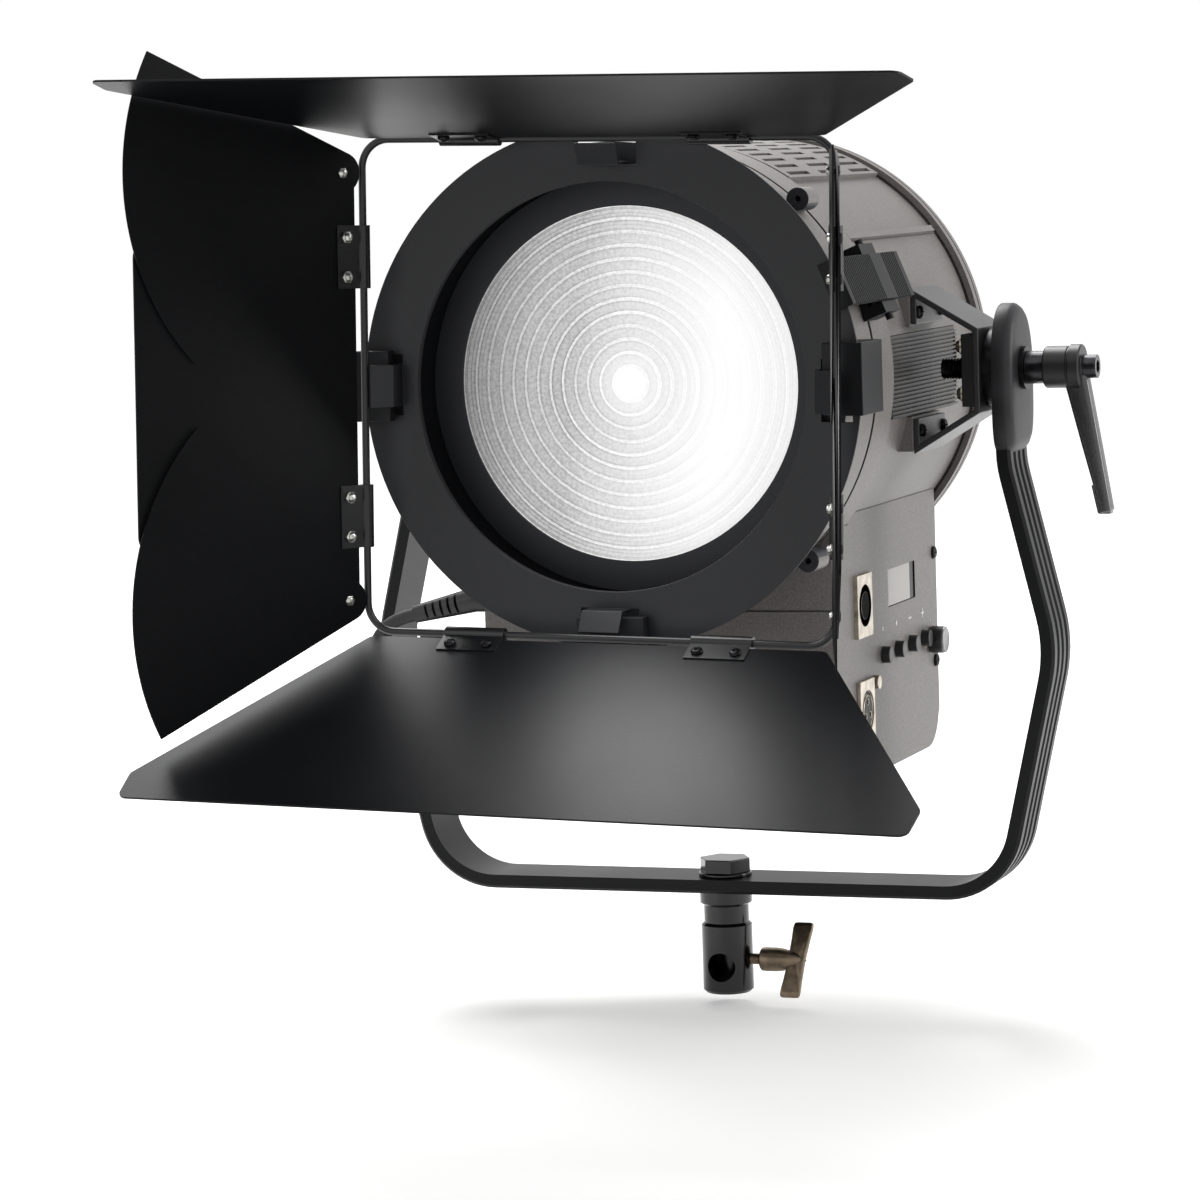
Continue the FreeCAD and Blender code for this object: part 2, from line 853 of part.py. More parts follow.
def make_drum():
    wall = ring(drum_y0, drum_y1, drum_r, drum_r - drum_wall)
    reach = drum_r + ridge_high * 2
    gap_angle = math.degrees(fit_gap / drum_r)
    top = wall.common(wedge(-split_angle + gap_angle, split_angle - gap_angle, reach,
                            drum_y0, drum_y1))
    raised = ring(vent_y0, vent_y1, drum_r + ridge_high, drum_r - drum_wall / 2)
    raised = raised.common(wedge(-vent_angle, vent_angle, reach, vent_y0, vent_y1))
    ridges = []
    rim = ring(ridge_y0, ridge_y1, drum_r + ridge_high, drum_r - drum_wall / 2)
    for side in (1, -1):
        pair = sorted((side * ridge_angle, side * (split_angle - gap_angle)))
        ridges.append(rim.common(wedge(pair[0], pair[1], reach, ridge_y0, ridge_y1)))
    upper = top.fuse([raised] + ridges).removeSplitter()
    keep_optical("upper_shell", [upper.cut(vent_slots())])

    lower = wall.cut(wedge(-split_angle, split_angle, reach, drum_y0 - overrun, drum_y1 + overrun))
    pads = []
    holes = []
    for side in (1, -1):
        for z0, z1 in ((pad_inner_z, pad_outer_z), (-pad_outer_z, -pad_inner_z)):
            xs = sorted((side * pad_inner_x, side * foot_x))
            pads.append(block(xs[0], xs[1], -pad_half_y, pad_half_y, z0 - optical_rise,
                              z1 - optical_rise))
        xs = sorted((side * (ribbed_x0 - sheet * 2), side * (foot_x + overrun)))
        holes.append(block(xs[0], xs[1], -ribbed_half_y - skin_gap, ribbed_half_y + skin_gap,
                           ribbed_z0 - skin_gap - optical_rise, ribbed_z1 + skin_gap - optical_rise))
    lower = lower.fuse(pads).removeSplitter().cut(holes)
    keep_optical("lower_shell", [lower])

    plate = block(ribbed_x0, ribbed_x1, -ribbed_half_y, ribbed_half_y, ribbed_z0, ribbed_z1)
    count = int((ribbed_z1 - ribbed_z0) / rib_pitch)
    ribs = []
    for k in range(count):
        z = ribbed_z0 + rib_pitch * k + rib_pitch / 2
        ribs.append(block(ribbed_x1 - rib_thick, ribbed_x1 + rib_high, -ribbed_half_y, ribbed_half_y,
                          z - rib_thick / 2, z + rib_thick / 2))
    keep("ribbed_panels", both_sides(plate.fuse(ribs).removeSplitter()))


def make_bezel():
    back = bezel_rear_y - fit_gap
    inner = bezel_r - bezel_wall
    seat_y = lens_front_y + lens_thick + fit_gap
    lip = bezel_front_y + bezel_wall
    groove0 = bezel_groove_y - bezel_groove / 2
    groove1 = bezel_groove_y + bezel_groove / 2
    outline = [
        (bezel_mouth_r, bezel_front_y), (bezel_r, bezel_front_y),
        (bezel_r, groove0), (bezel_r - bezel_groove_deep, groove0),
        (bezel_r - bezel_groove_deep, groove1), (bezel_r, groove1),
        (bezel_r, back), (inner, back), (inner, seat_y + seat_thick),
        (seat_inner_r, seat_y + seat_thick), (seat_inner_r, seat_y),
        (inner, seat_y), (inner, lip), (bezel_mouth_r, lip),
    ]
    body = turned_y(outline)
    bosses = []
    holes = []
    for k in range(4):
        turn = math.radians(full_turn * (k + 1 / 2) / 4)
        x = boss_circle_r * math.sin(turn)
        z = boss_circle_r * math.cos(turn)
        bosses.append(disc((x, boss_y0, z), (0, 1, 0), boss_r, boss_y1 - boss_y0))
        foot = (x - boss_r * math.sin(turn), boss_y0, z - boss_r * math.cos(turn))
        bosses.append(disc(foot, (0, 1, 0), boss_r / 2, boss_y1 - boss_y0))
        holes.append(disc((x, boss_y0 - overrun, z), (0, 1, 0), boss_hole_r,
                          boss_hole_deep + overrun))
    inside = ring(boss_y0 - overrun, boss_y1 + overrun, inner, seat_inner_r)
    body = body.fuse([b.cut(inside) for b in bosses]).cut(holes)
    keep_optical("bezel", [body.removeSplitter()])

    keeper_y = lens_front_y - fit_gap - keeper_thick
    keeper = [
        (keeper_inner_r, keeper_y), (keeper_outer_r, keeper_y),
        (keeper_outer_r, seat_y - fit_gap), (lens_r + fit_gap, seat_y - fit_gap),
        (lens_r + fit_gap, lens_front_y - fit_gap), (keeper_inner_r, lens_front_y - fit_gap),
    ]
    keep_optical("lens_keeper", [turned_y(keeper)])

    profile = [(0, lens_front_y + lens_thick)]
    hub = lens_r / lens_rings / 2
    profile += [(0, lens_front_y + lens_step), (hub, lens_front_y + lens_step)]
    for k in range(lens_rings - 1):
        r0 = hub + (keeper_inner_r - hub) * k / (lens_rings - 1)
        r1 = hub + (keeper_inner_r - hub) * (k + 1) / (lens_rings - 1)
        profile += [(r0 + fit_gap, lens_front_y + fit_gap), (r1, lens_front_y + lens_step)]
    profile += [(keeper_inner_r + fit_gap, lens_front_y), (lens_r, lens_front_y),
                (lens_r, lens_front_y + lens_thick)]
    keep_optical("fresnel_lens", [turned_y(profile)])


def make_rear():
    wall = rear_wall
    groove = rear_rim_y - wall * 2
    outline = [
        (rear_r - wall, rear_front_y), (rear_r, rear_front_y), (rear_r, groove),
        (rear_r - wall / 2, groove), (rear_r - wall / 2, groove + wall / 2),
        (rear_r, groove + wall / 2), (rear_r, rear_rim_y), (rear_face_r, rear_face_y),
        (0, rear_face_y), (0, rear_face_y - wall), (rear_face_r - wall, rear_face_y - wall),
        (rear_r - wall * 2, rear_rim_y - wall), (rear_r - wall * 2, rear_front_y + wall),
        (rear_r - wall, rear_front_y + wall),
    ]
    cover = turned_y(outline)
    cutters = []
    for k in range(grille_count):
        slot = block(-grille_slot / 2, grille_slot / 2, rear_face_y - wall * 2,
                     rear_face_y + overrun, grille_inner_r, grille_outer_r)
        cutters.append(turned(slot, (0, 1, 0), full_turn * k / grille_count))
    cutters.append(disc((0, rear_face_y - wall * 2, screw_z - optical_rise), (0, 1, 0),
                        screw_r + run_gap, wall * 3))
    keep_optical("rear_cover", [cover.cut(cutters)])


def box_outline(inset, z_top):
    y0 = box_y0 + inset
    y1 = box_y1 - inset
    z0 = box_bottom_z + inset
    points = [(0, y1, z_top), (0, y0, z_top), (0, y0, z0), (0, y1, z0)]
    front = max(box_front_r - inset, overrun)
    return points, [overrun, overrun, front, box_rear_r - inset]


def box_solid(half, inset, z_top):
    points, radii = box_outline(inset, z_top)
    points = [(-half, y, z) for _, y, z in points]
    return rounded_prism(points, radii, V(half * 2, 0, 0))


def panel_hole(y, z, radius):
    return disc((box_half_x - box_wall * 2, y, z), (1, 0, 0), radius, box_wall * 3)


def make_box():
    outer = box_solid(box_half_x, 0, box_top_z)
    inner = box_solid(box_half_x - box_wall, box_wall, box_top_z + overrun)
    length = box_y1 - box_y0
    rear_cut = disc((0, drum_y0 - fit_gap, optical_rise), (0, 1, 0), drum_r + skin_gap, length)
    front_cut = disc((0, box_y0 - overrun, optical_rise), (0, 1, 0), bezel_r + skin_gap,
                     drum_y0 + skin_gap - box_y0 + overrun)
    roof_rear = disc((0, drum_y0 - fit_gap, optical_rise), (0, 1, 0),
                     drum_r + skin_gap + box_wall, length)
    roof_front = disc((0, box_y0 - overrun, optical_rise), (0, 1, 0),
                      bezel_r + skin_gap + box_wall, drum_y0 + box_wall - box_y0 + overrun)
    hollow = inner.cut([roof_rear, roof_front])
    shell = outer.cut([rear_cut, front_cut]).cut(hollow)
    cutters = [
        block(box_half_x - box_wall * 2, box_half_x + overrun, window_y0 + window_lip,
              window_y1 - window_lip, window_z0 + window_lip, window_z1 - window_lip),
        panel_hole(power_y, power_z, socket_face_r + fit_gap),
        panel_hole(data_y, data_z, socket_face_r + fit_gap),
        panel_hole(release_y, release_z, release_r + run_gap),
        panel_hole(knob_y, knob_z, knob_shaft_r + run_gap),
        block(-box_half_x - overrun, box_half_x + overrun, box_y0 - overrun, box_y0 + box_line,
              box_line_z, box_line_z + box_line),
    ]
    for y in button_ys:
        cutters.append(panel_hole(y, button_z, button_r + run_gap))
    half = box_half_x - lid_inset
    y0 = box_y1 + fit_gap / 2
    y1 = min(y0 + lid_thick, rear_front_y - fit_gap)
    low = box_bottom_z + box_rear_r / 2
    points = [(-half, y0, low), (half, y0, low), (half, y0, box_top_z), (-half, y0, box_top_z)]
    lid = rounded_prism(points, [box_rear_r / 3, box_rear_r / 3, overrun, overrun],
                        V(0, y1 - y0, 0))
    lid = lid.cut(disc((0, y0 - overrun, optical_rise), (0, 1, 0), drum_r + skin_gap,
                       lid_thick + overrun * 2))
    keep("control_box", [shell.cut(cutters), lid])


def socket_solid(y, z, half_y, half_z, pins):
    face = box_half_x + socket_flange
    body = block(box_half_x, face, y - half_y, y + half_y, z - half_z, z + half_z)
    barrel = disc((box_half_x - socket_body_deep, y, z), (1, 0, 0), socket_face_r,
                  socket_body_deep + socket_flange)
    body = body.fuse(barrel)
    recess = pipe((face - socket_recess, y, z), (1, 0, 0), socket_face_r - box_wall / 2,
                  socket_core_r, socket_recess + overrun)
    if not pins:
        return body.cut(recess)
    holes = []
    for k in range(3):
        turn = math.radians(full_turn * k / 3)
        place = (face - socket_recess, y + pin_circle_r * math.sin(turn),
                 z + pin_circle_r * math.cos(turn))
        holes.append(disc(place, (1, 0, 0), pin_hole_r, socket_recess + overrun))
    rim = pipe((face - overrun, y, z), (1, 0, 0), socket_face_r - box_wall / 2,
               socket_core_r + overrun, overrun * 2)
    return body.cut(holes + [rim])


def push_solid(y, z, radius, proud):
    inner = box_half_x - box_wall - button_rest_gap
    stem_x = inner - button_flange_thick
    cap = disc((stem_x, y, z), (1, 0, 0), radius, box_half_x + proud - stem_x)
    flange = disc((stem_x, y, z), (1, 0, 0), radius + button_flange, button_flange_thick)
    return cap.fuse(flange)


def make_panel():
    inner = box_half_x - box_wall
    glass = block(inner, box_half_x - window_lip / 2, window_y0 + window_lip + fit_gap,
                  window_y1 - window_lip - fit_gap, window_z0 + window_lip + fit_gap,
                  window_z1 - window_lip - fit_gap)
    module = block(inner - window_deep, inner, window_y0, window_y1, window_z0, window_z1)
    keep("display", [glass.fuse(module)])
    keep("power_inlet", [socket_solid(power_y, power_z, power_half_y, power_half_z, False)])
    keep("data_socket", [socket_solid(data_y, data_z, data_half_y, data_half_z, True)])
    keep("release_tab", [push_solid(release_y, release_z, release_r, release_proud)])
    for k, y in enumerate(button_ys):
        keep(f"button_{k + 1}", [push_solid(y, button_z, button_r, button_proud)])
    x0 = box_half_x + button_rest_gap
    knob = disc((x0, knob_y, knob_z), (1, 0, 0), knob_r, knob_proud)
    shaft = disc((x0 - knob_shaft_deep, knob_y, knob_z), (1, 0, 0), knob_shaft_r, knob_shaft_deep)
    mark = block(x0 + knob_proud - knob_mark, x0 + knob_proud + overrun, knob_y - knob_mark / 2,
                 knob_y + knob_mark / 2, knob_z, knob_z + knob_r + overrun)
    keep("brightness_knob", [knob.fuse(shaft).cut(mark)])


def make_works():
    plates = []
    lead_z = screw_z - optical_rise
    for y, opening in ((front_bulk_y, front_window_r), (rear_bulk_y, fan_opening_r)):
        wall = ring(y, y + bulkhead_thick, bulkhead_r, opening)
        holes = [disc((side * rod_x, y - overrun, 0), (0, 1, 0), rod_r + run_gap,
                      bulkhead_thick + overrun * 2) for side in (1, -1)]
        holes.append(disc((0, y - overrun, lead_z), (0, 1, 0), screw_r + run_gap,
                          bulkhead_thick + overrun * 2))
        trims = [block(*sorted((side * (ribbed_x0 - sheet * 2), side * foot_x)), y - overrun,
                       y + bulkhead_thick + overrun, -pad_outer_z - overrun, pad_outer_z + overrun)
                 for side in (1, -1)]
        plates.append(wall.cut(holes + trims))
    rods = [disc((side * rod_x, front_bulk_y, 0), (0, 1, 0), rod_r,
                 rear_bulk_y + bulkhead_thick - front_bulk_y) for side in (1, -1)]
    keep_optical("chassis", plates + rods)

    y1 = carriage_y + carriage_thick
    base = block(-carriage_half_x, carriage_half_x, carriage_y, y1, -carriage_half_z,
                 carriage_half_z)
    pad = block(-fin_half_x, fin_half_x, carriage_y, y1, -fin_half_z, fin_half_z)
    lug = block(-screw_lug_half, screw_lug_half, carriage_y, y1, lead_z - screw_lug_half,
                -fin_half_z + overrun)
    fins = []
    count = int(fin_half_x * 2 / fin_pitch)
    for k in range(count + 1):
        x = (k - count / 2) * fin_pitch
        fins.append(block(x - fin_thick / 2, x + fin_thick / 2, y1 - overrun, y1 + fin_deep,
                          -fin_half_z, fin_half_z))
    sink = base.fuse([pad, lug] + fins).removeSplitter()
    holes = [disc((side * rod_x, carriage_y - overrun, 0), (0, 1, 0), rod_r + run_gap,
                  carriage_thick + overrun * 2) for side in (1, -1)]
    holes.append(disc((0, carriage_y - overrun, lead_z), (0, 1, 0), screw_r + run_gap,
                      carriage_thick + overrun * 2))
    keep_optical("heat_sink", [sink.cut(holes)])

    chip = disc((0, carriage_y - emitter_thick, 0), (0, 1, 0), emitter_r, emitter_thick)
    y0 = carriage_y - emitter_thick - reflector_long
    horn = [(reflector_r1, y0), (reflector_r1 + reflector_wall, y0),
            (reflector_r0 + reflector_wall, y0 + reflector_long),
            (reflector_r0, y0 + reflector_long)]
    keep_optical("led_emitter", [chip, turned_y(horn)])

    spindle = disc((0, screw_y0, screw_z), (0, 1, 0), screw_r, focus_knob_y1 - screw_y0)
    grip = disc((0, focus_knob_y0, screw_z), (0, 1, 0), focus_knob_r,
                focus_knob_y1 - focus_knob_y0)
    cuts = []
    for k in range(focus_knob_flats):
        turn = math.radians(full_turn * k / focus_knob_flats)
        place = (focus_knob_r * math.sin(turn), focus_knob_y0 + sheet,
                 screw_z + focus_knob_r * math.cos(turn))
        cuts.append(disc(place, (0, 1, 0), rib_high, focus_knob_y1 - focus_knob_y0))
    keep("focus_screw", [grip.cut(cuts).fuse(spindle)])

    y0 = rear_bulk_y + bulkhead_thick
    y1 = y0 + fan_thick
    frame = block(-fan_half, fan_half, y0, y1, -fan_half, fan_half)
    frame = frame.cut(disc((0, y0 - overrun, 0), (0, 1, 0), fan_duct_r, fan_thick + overrun * 2))
    struts = [disc((0, y1 - strut_thick, 0), (0, 1, 0), fan_hub_r, strut_thick),
              disc((0, y0 + strut_thick, 0), (0, 1, 0), fan_pin_r, fan_thick - strut_thick)]
    for k in range(3):
        arm = block(-strut_wide / 2, strut_wide / 2, y1 - strut_thick, y1, 0, fan_half - overrun)
        struts.append(turned(arm, (0, 1, 0), full_turn * k / 3))
    keep_optical("fan_frame", [frame.fuse(struts).removeSplitter()])

    h0 = y0 + strut_thick
    h1 = y1 - strut_thick - skin_gap
    hub = disc((0, h0, 0), (0, 1, 0), fan_hub_r, h1 - h0)
    blades = []
    for k in range(fan_blades):
        blade = block(-fan_blade_thick / 2, fan_blade_thick / 2, h0 + overrun, h1 - overrun,
                      fan_hub_r - overrun, fan_blade_r)
        blade = turned(blade, (0, 0, 1), full_turn / 10, (0, (h0 + h1) / 2, 0))
        blades.append(turned(blade, (0, 1, 0), full_turn * k / fan_blades))
    limit = ring(h0, h1, fan_blade_r, fan_hub_r - overrun * 2)
    rotor = hub.fuse([b.common(limit) for b in blades])
    rotor = rotor.cut(disc((0, h0 - overrun, 0), (0, 1, 0), fan_pin_r + run_gap, fan_thick))
    keep_optical("fan_rotor", [rotor])


def make_electronics():
    floor = box_bottom_z + box_wall + fit_gap
    case = block(-supply_half_x, supply_half_x, supply_y0, supply_y1, floor, floor + supply_high)
    fins = []
    count = int(supply_half_x * 2 / supply_fin_pitch)
    for k in range(count):
        x = -supply_half_x + supply_fin_pitch * (k + 1 / 2)
        fins.append(block(x - supply_fin / 2, x + supply_fin / 2, supply_y0, supply_y1,
                          floor + supply_high - overrun, floor + supply_high + supply_fin_high))
    keep("power_supply", [case.fuse(fins).removeSplitter()])

    board = block(board_x - board_thick, board_x, board_y0, board_y1, board_z0, board_z1)
    wall_x = box_half_x - box_wall - fit_gap
    posts = []
    for y in (board_y0 + post_r * 2, board_y1 - post_r * 2):
        for z in (board_z0 + post_r * 2, board_z1 - post_r * 2):
            posts.append(disc((board_x, y, z), (1, 0, 0), post_r, wall_x - board_x))
    keep("driver_board", [board.fuse(posts)])


def rounded_loop(half, radius, y):
    corners = [V(half, y, half), V(-half, y, half), V(-half, y, -half), V(half, y, -half)]
    start = V(half, y, 0)
    return Part.Wire(corner_path([start] + corners + [start], [radius] * 4))


def make_ring():
    flat = ring(ring_front_y, ring_front_y + ring_thick, ring_outer_r, ring_inner_r)
    lip = ring(ring_front_y, ring_front_y + ring_lip, ring_inner_r + ring_thick, ring_inner_r)
    plate = flat.fuse(lip)
    notches = []
    tabs = []
    for k in range(4):
        angle = full_turn * k / 4
        notch = block(-ring_notch_half, ring_notch_half, ring_front_y - overrun,
                      ring_front_y + ring_thick + overrun, tab_root_r - tab_thick / 2,
                      tab_root_r + ring_notch_half)
        notches.append(turned(notch, (0, 1, 0), angle))
        end_r = wire_half - wire_r - tab_thick / 2
        points = [
            (tab_root_r - ring_lip, ring_front_y + ring_thick / 2),
            (tab_root_r, ring_front_y + ring_thick / 2),
            (tab_root_r, tab_front_y), (end_r, wire_y),
        ]
        outline = [(0, y, r) for r, y in ribbon(points, tab_thick)]
        tab = moved(face_of(outline), x=-ring_tab_half).extrude(V(ring_tab_half * 2, 0, 0))
        tabs.append(turned(tab, (0, 1, 0), angle))
    keep_barn("barn_ring", [plate.cut(notches).fuse(tabs).removeSplitter()])

    loop = rounded_loop(wire_half, wire_corner_r, wire_y)
    section = Part.Wire(Part.Circle(V(wire_half, wire_y, 0), V(0, 0, 1), wire_r).toShape())
    keep_barn("wire_frame", [loop.makePipeShell([section], True, False)])


def on_hinge(shape, outward, opening):
    """Places a flat door: local X away from the hinge, Y along it, Z to its outer side."""
    turn = math.radians(opening)
    front = V(0, -1, 0)
    out = V(*outward)
    away = front * math.cos(turn) + out * math.sin(turn)
    normal = out * math.cos(turn) - front * math.sin(turn)
    along = normal.cross(away)
    base = out * wire_half + V(0, wire_y, 0)
    matrix = FreeCAD.Matrix(
        away.x, along.x, normal.x, base.x,
        away.y, along.y, normal.y, base.y,
        away.z, along.z, normal.z, base.z,
        0, 0, 0, 1,
    )
    copy = shape.copy()
    copy.transformShape(matrix)
    return copy


def screw_places():
    return [side * clip_centre + step * clip_screw_pitch for side in (1, -1) for step in (1, -1)]


def door_plate(points, radii, rivets):
    outline = [(s, u, -door_thick / 2) for s, u in points]
    plate = rounded_prism(outline, radii, V(0, 0, door_thick))
    holes = []
    for u in screw_places():
        holes.append(disc((clip_screw_at, u, -overrun), (0, 0, 1), clip_shank_r + run_gap,
                          overrun * 2))
    for u in rivets:
        holes.append(disc((leaf_pivot_at, u, -overrun), (0, 0, 1), rivet_r + run_gap, overrun * 2))
    return plate.cut(holes)


def hinge_set(rivets):
    solids = []
    bore = wire_r + run_gap
    for side in (1, -1):
        u0 = side * clip_centre - clip_long / 2
        u1 = side * clip_centre + clip_long / 2
        body = disc((0, u0, 0), (0, 1, 0), clip_sleeve_r, clip_long)
        half = door_thick / 2
        straps = block(0, clip_len, u0, u1, -half - clip_thick, half + clip_thick)
        room = block(door_start - skin_gap, clip_len + overrun, u0 - overrun, u1 + overrun, -half, half)
        body = body.fuse(straps).cut([disc((0, u0 - overrun, 0), (0, 1, 0), bore,
                                           clip_long + overrun * 2), room])
        holes = [disc((clip_screw_at, side * clip_centre + k * clip_screw_pitch, -overrun * 2),
                      (0, 0, 1), clip_shank_r + run_gap, overrun * 4) for k in (1, -1)]
        solids.append(body.cut(holes))
    low = -door_thick / 2 - clip_thick
    high = -low
    for u in screw_places():
        shank = disc((clip_screw_at, u, low), (0, 0, 1), clip_shank_r, high - low)
        head = disc((clip_screw_at, u, high), (0, 0, 1), clip_nut_r, clip_nut_high / 2)
        nut = disc((clip_screw_at, u, low - clip_nut_high / 2), (0, 0, 1), clip_nut_r,
                   clip_nut_high / 2)
        dome = Part.makeCone(clip_nut_r * 3 / 4, clip_nut_r, clip_nut_high / 2,
                             V(clip_screw_at, u, low - clip_nut_high), V(0, 0, 1))
        solids.append(shank.fuse([head, nut, dome]))
    for u in rivets:
        layer = leaf_layer if u > 0 else leaf_layer + leaf_thick + fit_gap
        inner = -layer - leaf_thick - fit_gap
        shank = disc((leaf_pivot_at, u, inner), (0, 0, 1), rivet_r, door_thick / 2 - inner)
        head = disc((leaf_pivot_at, u, inner - rivet_head_high), (0, 0, 1), rivet_head_r,
                    rivet_head_high)
        tail = disc((leaf_pivot_at, u, door_thick / 2), (0, 0, 1), rivet_head_r, rivet_head_high)
        collar = disc((leaf_pivot_at, u, -layer + fit_gap / 2), (0, 0, 1), rivet_head_r,
                      layer - fit_gap / 2 - door_thick / 2)
        solids.append(shank.fuse([head, tail, collar]))
    return solids


def leaf_plate(side, fold):
    """Sector about its rivet, its two straight edges tangent to the border circle."""
    def at(radius, angle):
        turn = math.radians(angle)
        return V(radius * math.cos(turn), side * radius * math.sin(turn), 0)

    upper = leaf_upper_angle - fold
    lower = -leaf_lower_angle - fold
    lean = math.degrees(math.acos(leaf_border / leaf_r))
    middle = (upper + lower) / 2
    a = at(leaf_r, upper)
    b = at(leaf_r, lower)
    c = at(leaf_border, lower - lean)
    d = at(leaf_border, upper + lean)
    wire = Part.Wire([
        Part.Arc(a, at(leaf_r, middle), b).toShape(),
        Part.LineSegment(b, c).toShape(),
        Part.Arc(c, at(leaf_border, middle + full_turn / 2), d).toShape(),
        Part.LineSegment(d, a).toShape(),
    ])
    layer = leaf_layer if side > 0 else leaf_layer + leaf_thick + fit_gap
    leaf = moved(Part.Face(wire), z=-layer - leaf_thick).extrude(V(0, 0, leaf_thick))
    leaf = leaf.cut(disc((0, 0, -layer - leaf_thick - overrun), (0, 0, 1), rivet_r + run_gap,
                         leaf_thick + overrun * 2))
    return moved(leaf, x=leaf_pivot_at, y=side * leaf_pivot_half)


def make_doors():
    wide = [
        (door_start, wide_hinge_half), (wide_side_len, wide_outer_half),
        (wide_len, wide_front_half), (wide_len, -wide_front_half),
        (wide_side_len, -wide_outer_half), (door_start, -wide_hinge_half),
    ]
    wide_radii = [wide_corner_r] * 6
    for name, outward, opening in (("top", (0, 0, 1), top_open_angle),
                                   ("bottom", (0, 0, -1), bottom_open_angle)):
        keep_barn(f"{name}_door", [on_hinge(door_plate(wide, wide_radii, ()), outward, opening)])
        hinges = [on_hinge(s, outward, opening) for s in hinge_set(())]
        keep_barn(f"{name}_hinges", hinges)

    side = [
        (door_start, side_hinge_half), (side_shoulder, side_hinge_half), (side_len, side_outer_half),
        (side_len, -side_outer_half), (side_shoulder, -side_hinge_half),
        (door_start, -side_hinge_half),
    ]
    side_radii = [side_corner_r] * 6
    rivets = (leaf_pivot_half, -leaf_pivot_half)
    for name, outward, opening, fold in (("left", (-1, 0, 0), left_open_angle, 0),
                                         ("right", (1, 0, 0), right_open_angle, leaf_fold_angle)):
        plate = door_plate(side, side_radii, rivets)
        keep_barn(f"{name}_door", [on_hinge(plate, outward, opening)])
        hinges = [on_hinge(s, outward, opening) for s in hinge_set(rivets)]
        keep_barn(f"{name}_hinges", hinges)
        for leaf_name, end in (("upper", 1), ("lower", -1)):
            sign = end if name == "left" else -end
            leaf = on_hinge(leaf_plate(sign, fold), outward, opening)
            keep_barn(f"{name}_{leaf_name}_leaf", [leaf])


def make_ears():
    base_r = bezel_r - bezel_wall
    outline = [
        (base_r, ear_rear_y), (ear_outer_r, ear_rear_y), (ear_outer_r, ear_front_y),
        (ear_lip_r, ear_front_y), (ear_lip_r, ear_lip_y), (ear_slot_r, ear_lip_y),
        (ear_slot_r, ear_slot_y), (base_r, ear_slot_y),
    ]
    ears = []
    drum = disc((0, bezel_front_y, 0), (0, 1, 0), bezel_r + fit_gap, ear_rear_y - bezel_front_y)
    step = disc((0, ear_slot_y, 0), (0, 1, 0), bezel_r + fit_gap, ear_rear_y - ear_slot_y)
    for angle, shift in ((90, -ear_offset), (270, ear_offset), (180, 0)):
        face = face_of([(shift - ear_half, y, r) for r, y in outline])
        ear = face.extrude(V(ear_half * 2, 0, 0))
        ears.append(turned(ear, (0, 1, 0), angle).cut([drum, step]))
    keep_optical("ring_ears", ears)


def make_latch():
    pin_r = latch_plate_r - latch_thick / 2
    base = block(-latch_base_half, latch_base_half, latch_base_y0, latch_base_y1,
                 bezel_r - bezel_wall, pin_r + latch_pin_r + overrun)
    room_r = pin_r - latch_pin_r * 2
    slot = block(-latch_half - fit_gap, latch_half + fit_gap, latch_base_y0 - overrun,
                 latch_base_y1 + overrun, room_r - skin_gap, latch_plate_r + latch_thick)
    bore = disc((-latch_pin_half - overrun, latch_pin_y, pin_r), (1, 0, 0),
                latch_pin_r + run_gap, latch_pin_half * 2 + overrun * 2)
    drum = disc((0, latch_base_y0 - overrun, 0), (0, 1, 0), bezel_r + fit_gap,
                latch_base_y1 - latch_base_y0 + overrun * 2)
    base = base.cut([slot, bore, drum])

    top = latch_plate_r + latch_thick
    arm = block(-latch_half, latch_half, latch_front_y, latch_rear_y, latch_plate_r, top)
    hook = block(-latch_half, latch_half, latch_front_y, latch_hook_y, latch_hook_r, top)
    eye = disc((-latch_half, latch_pin_y, pin_r), (1, 0, 0), latch_pin_r * 2, latch_half * 2)
    arm = arm.fuse([hook, eye])
    grooves = []
    for start, stop in ((latch_front_y + sheet * 2, latch_pin_y - sheet * 2),
                        (latch_pin_y + sheet * 4, latch_rear_y - sheet)):
        count = int((stop - start) / latch_groove_pitch)
        for k in range(count):
            y = start + latch_groove_pitch * k
            grooves.append(block(-latch_half - overrun, latch_half + overrun, y, y + latch_groove,
                                 top - latch_groove, top + overrun))
    arm = arm.cut(grooves)
    arm = arm.cut(disc((-latch_half - overrun, latch_pin_y, pin_r), (1, 0, 0),
                       latch_pin_r + run_gap, latch_half * 2 + overrun * 2))
    keep_optical("latch_arm", [turned(arm.removeSplitter(), (0, 1, 0), latch_angle)])
    pin = disc((-latch_pin_half, latch_pin_y, pin_r), (1, 0, 0), latch_pin_r, latch_pin_half * 2)
    keep_optical("latch_base", [turned(s, (0, 1, 0), latch_angle) for s in (base, pin)])


def relief_away():
    slope = math.radians(relief_slope_angle)
    return V(-math.cos(slope), 0, -math.sin(slope))


def lead_start():
    return V(-gland_body_x, gland_y, gland_z) + relief_away() * relief_long


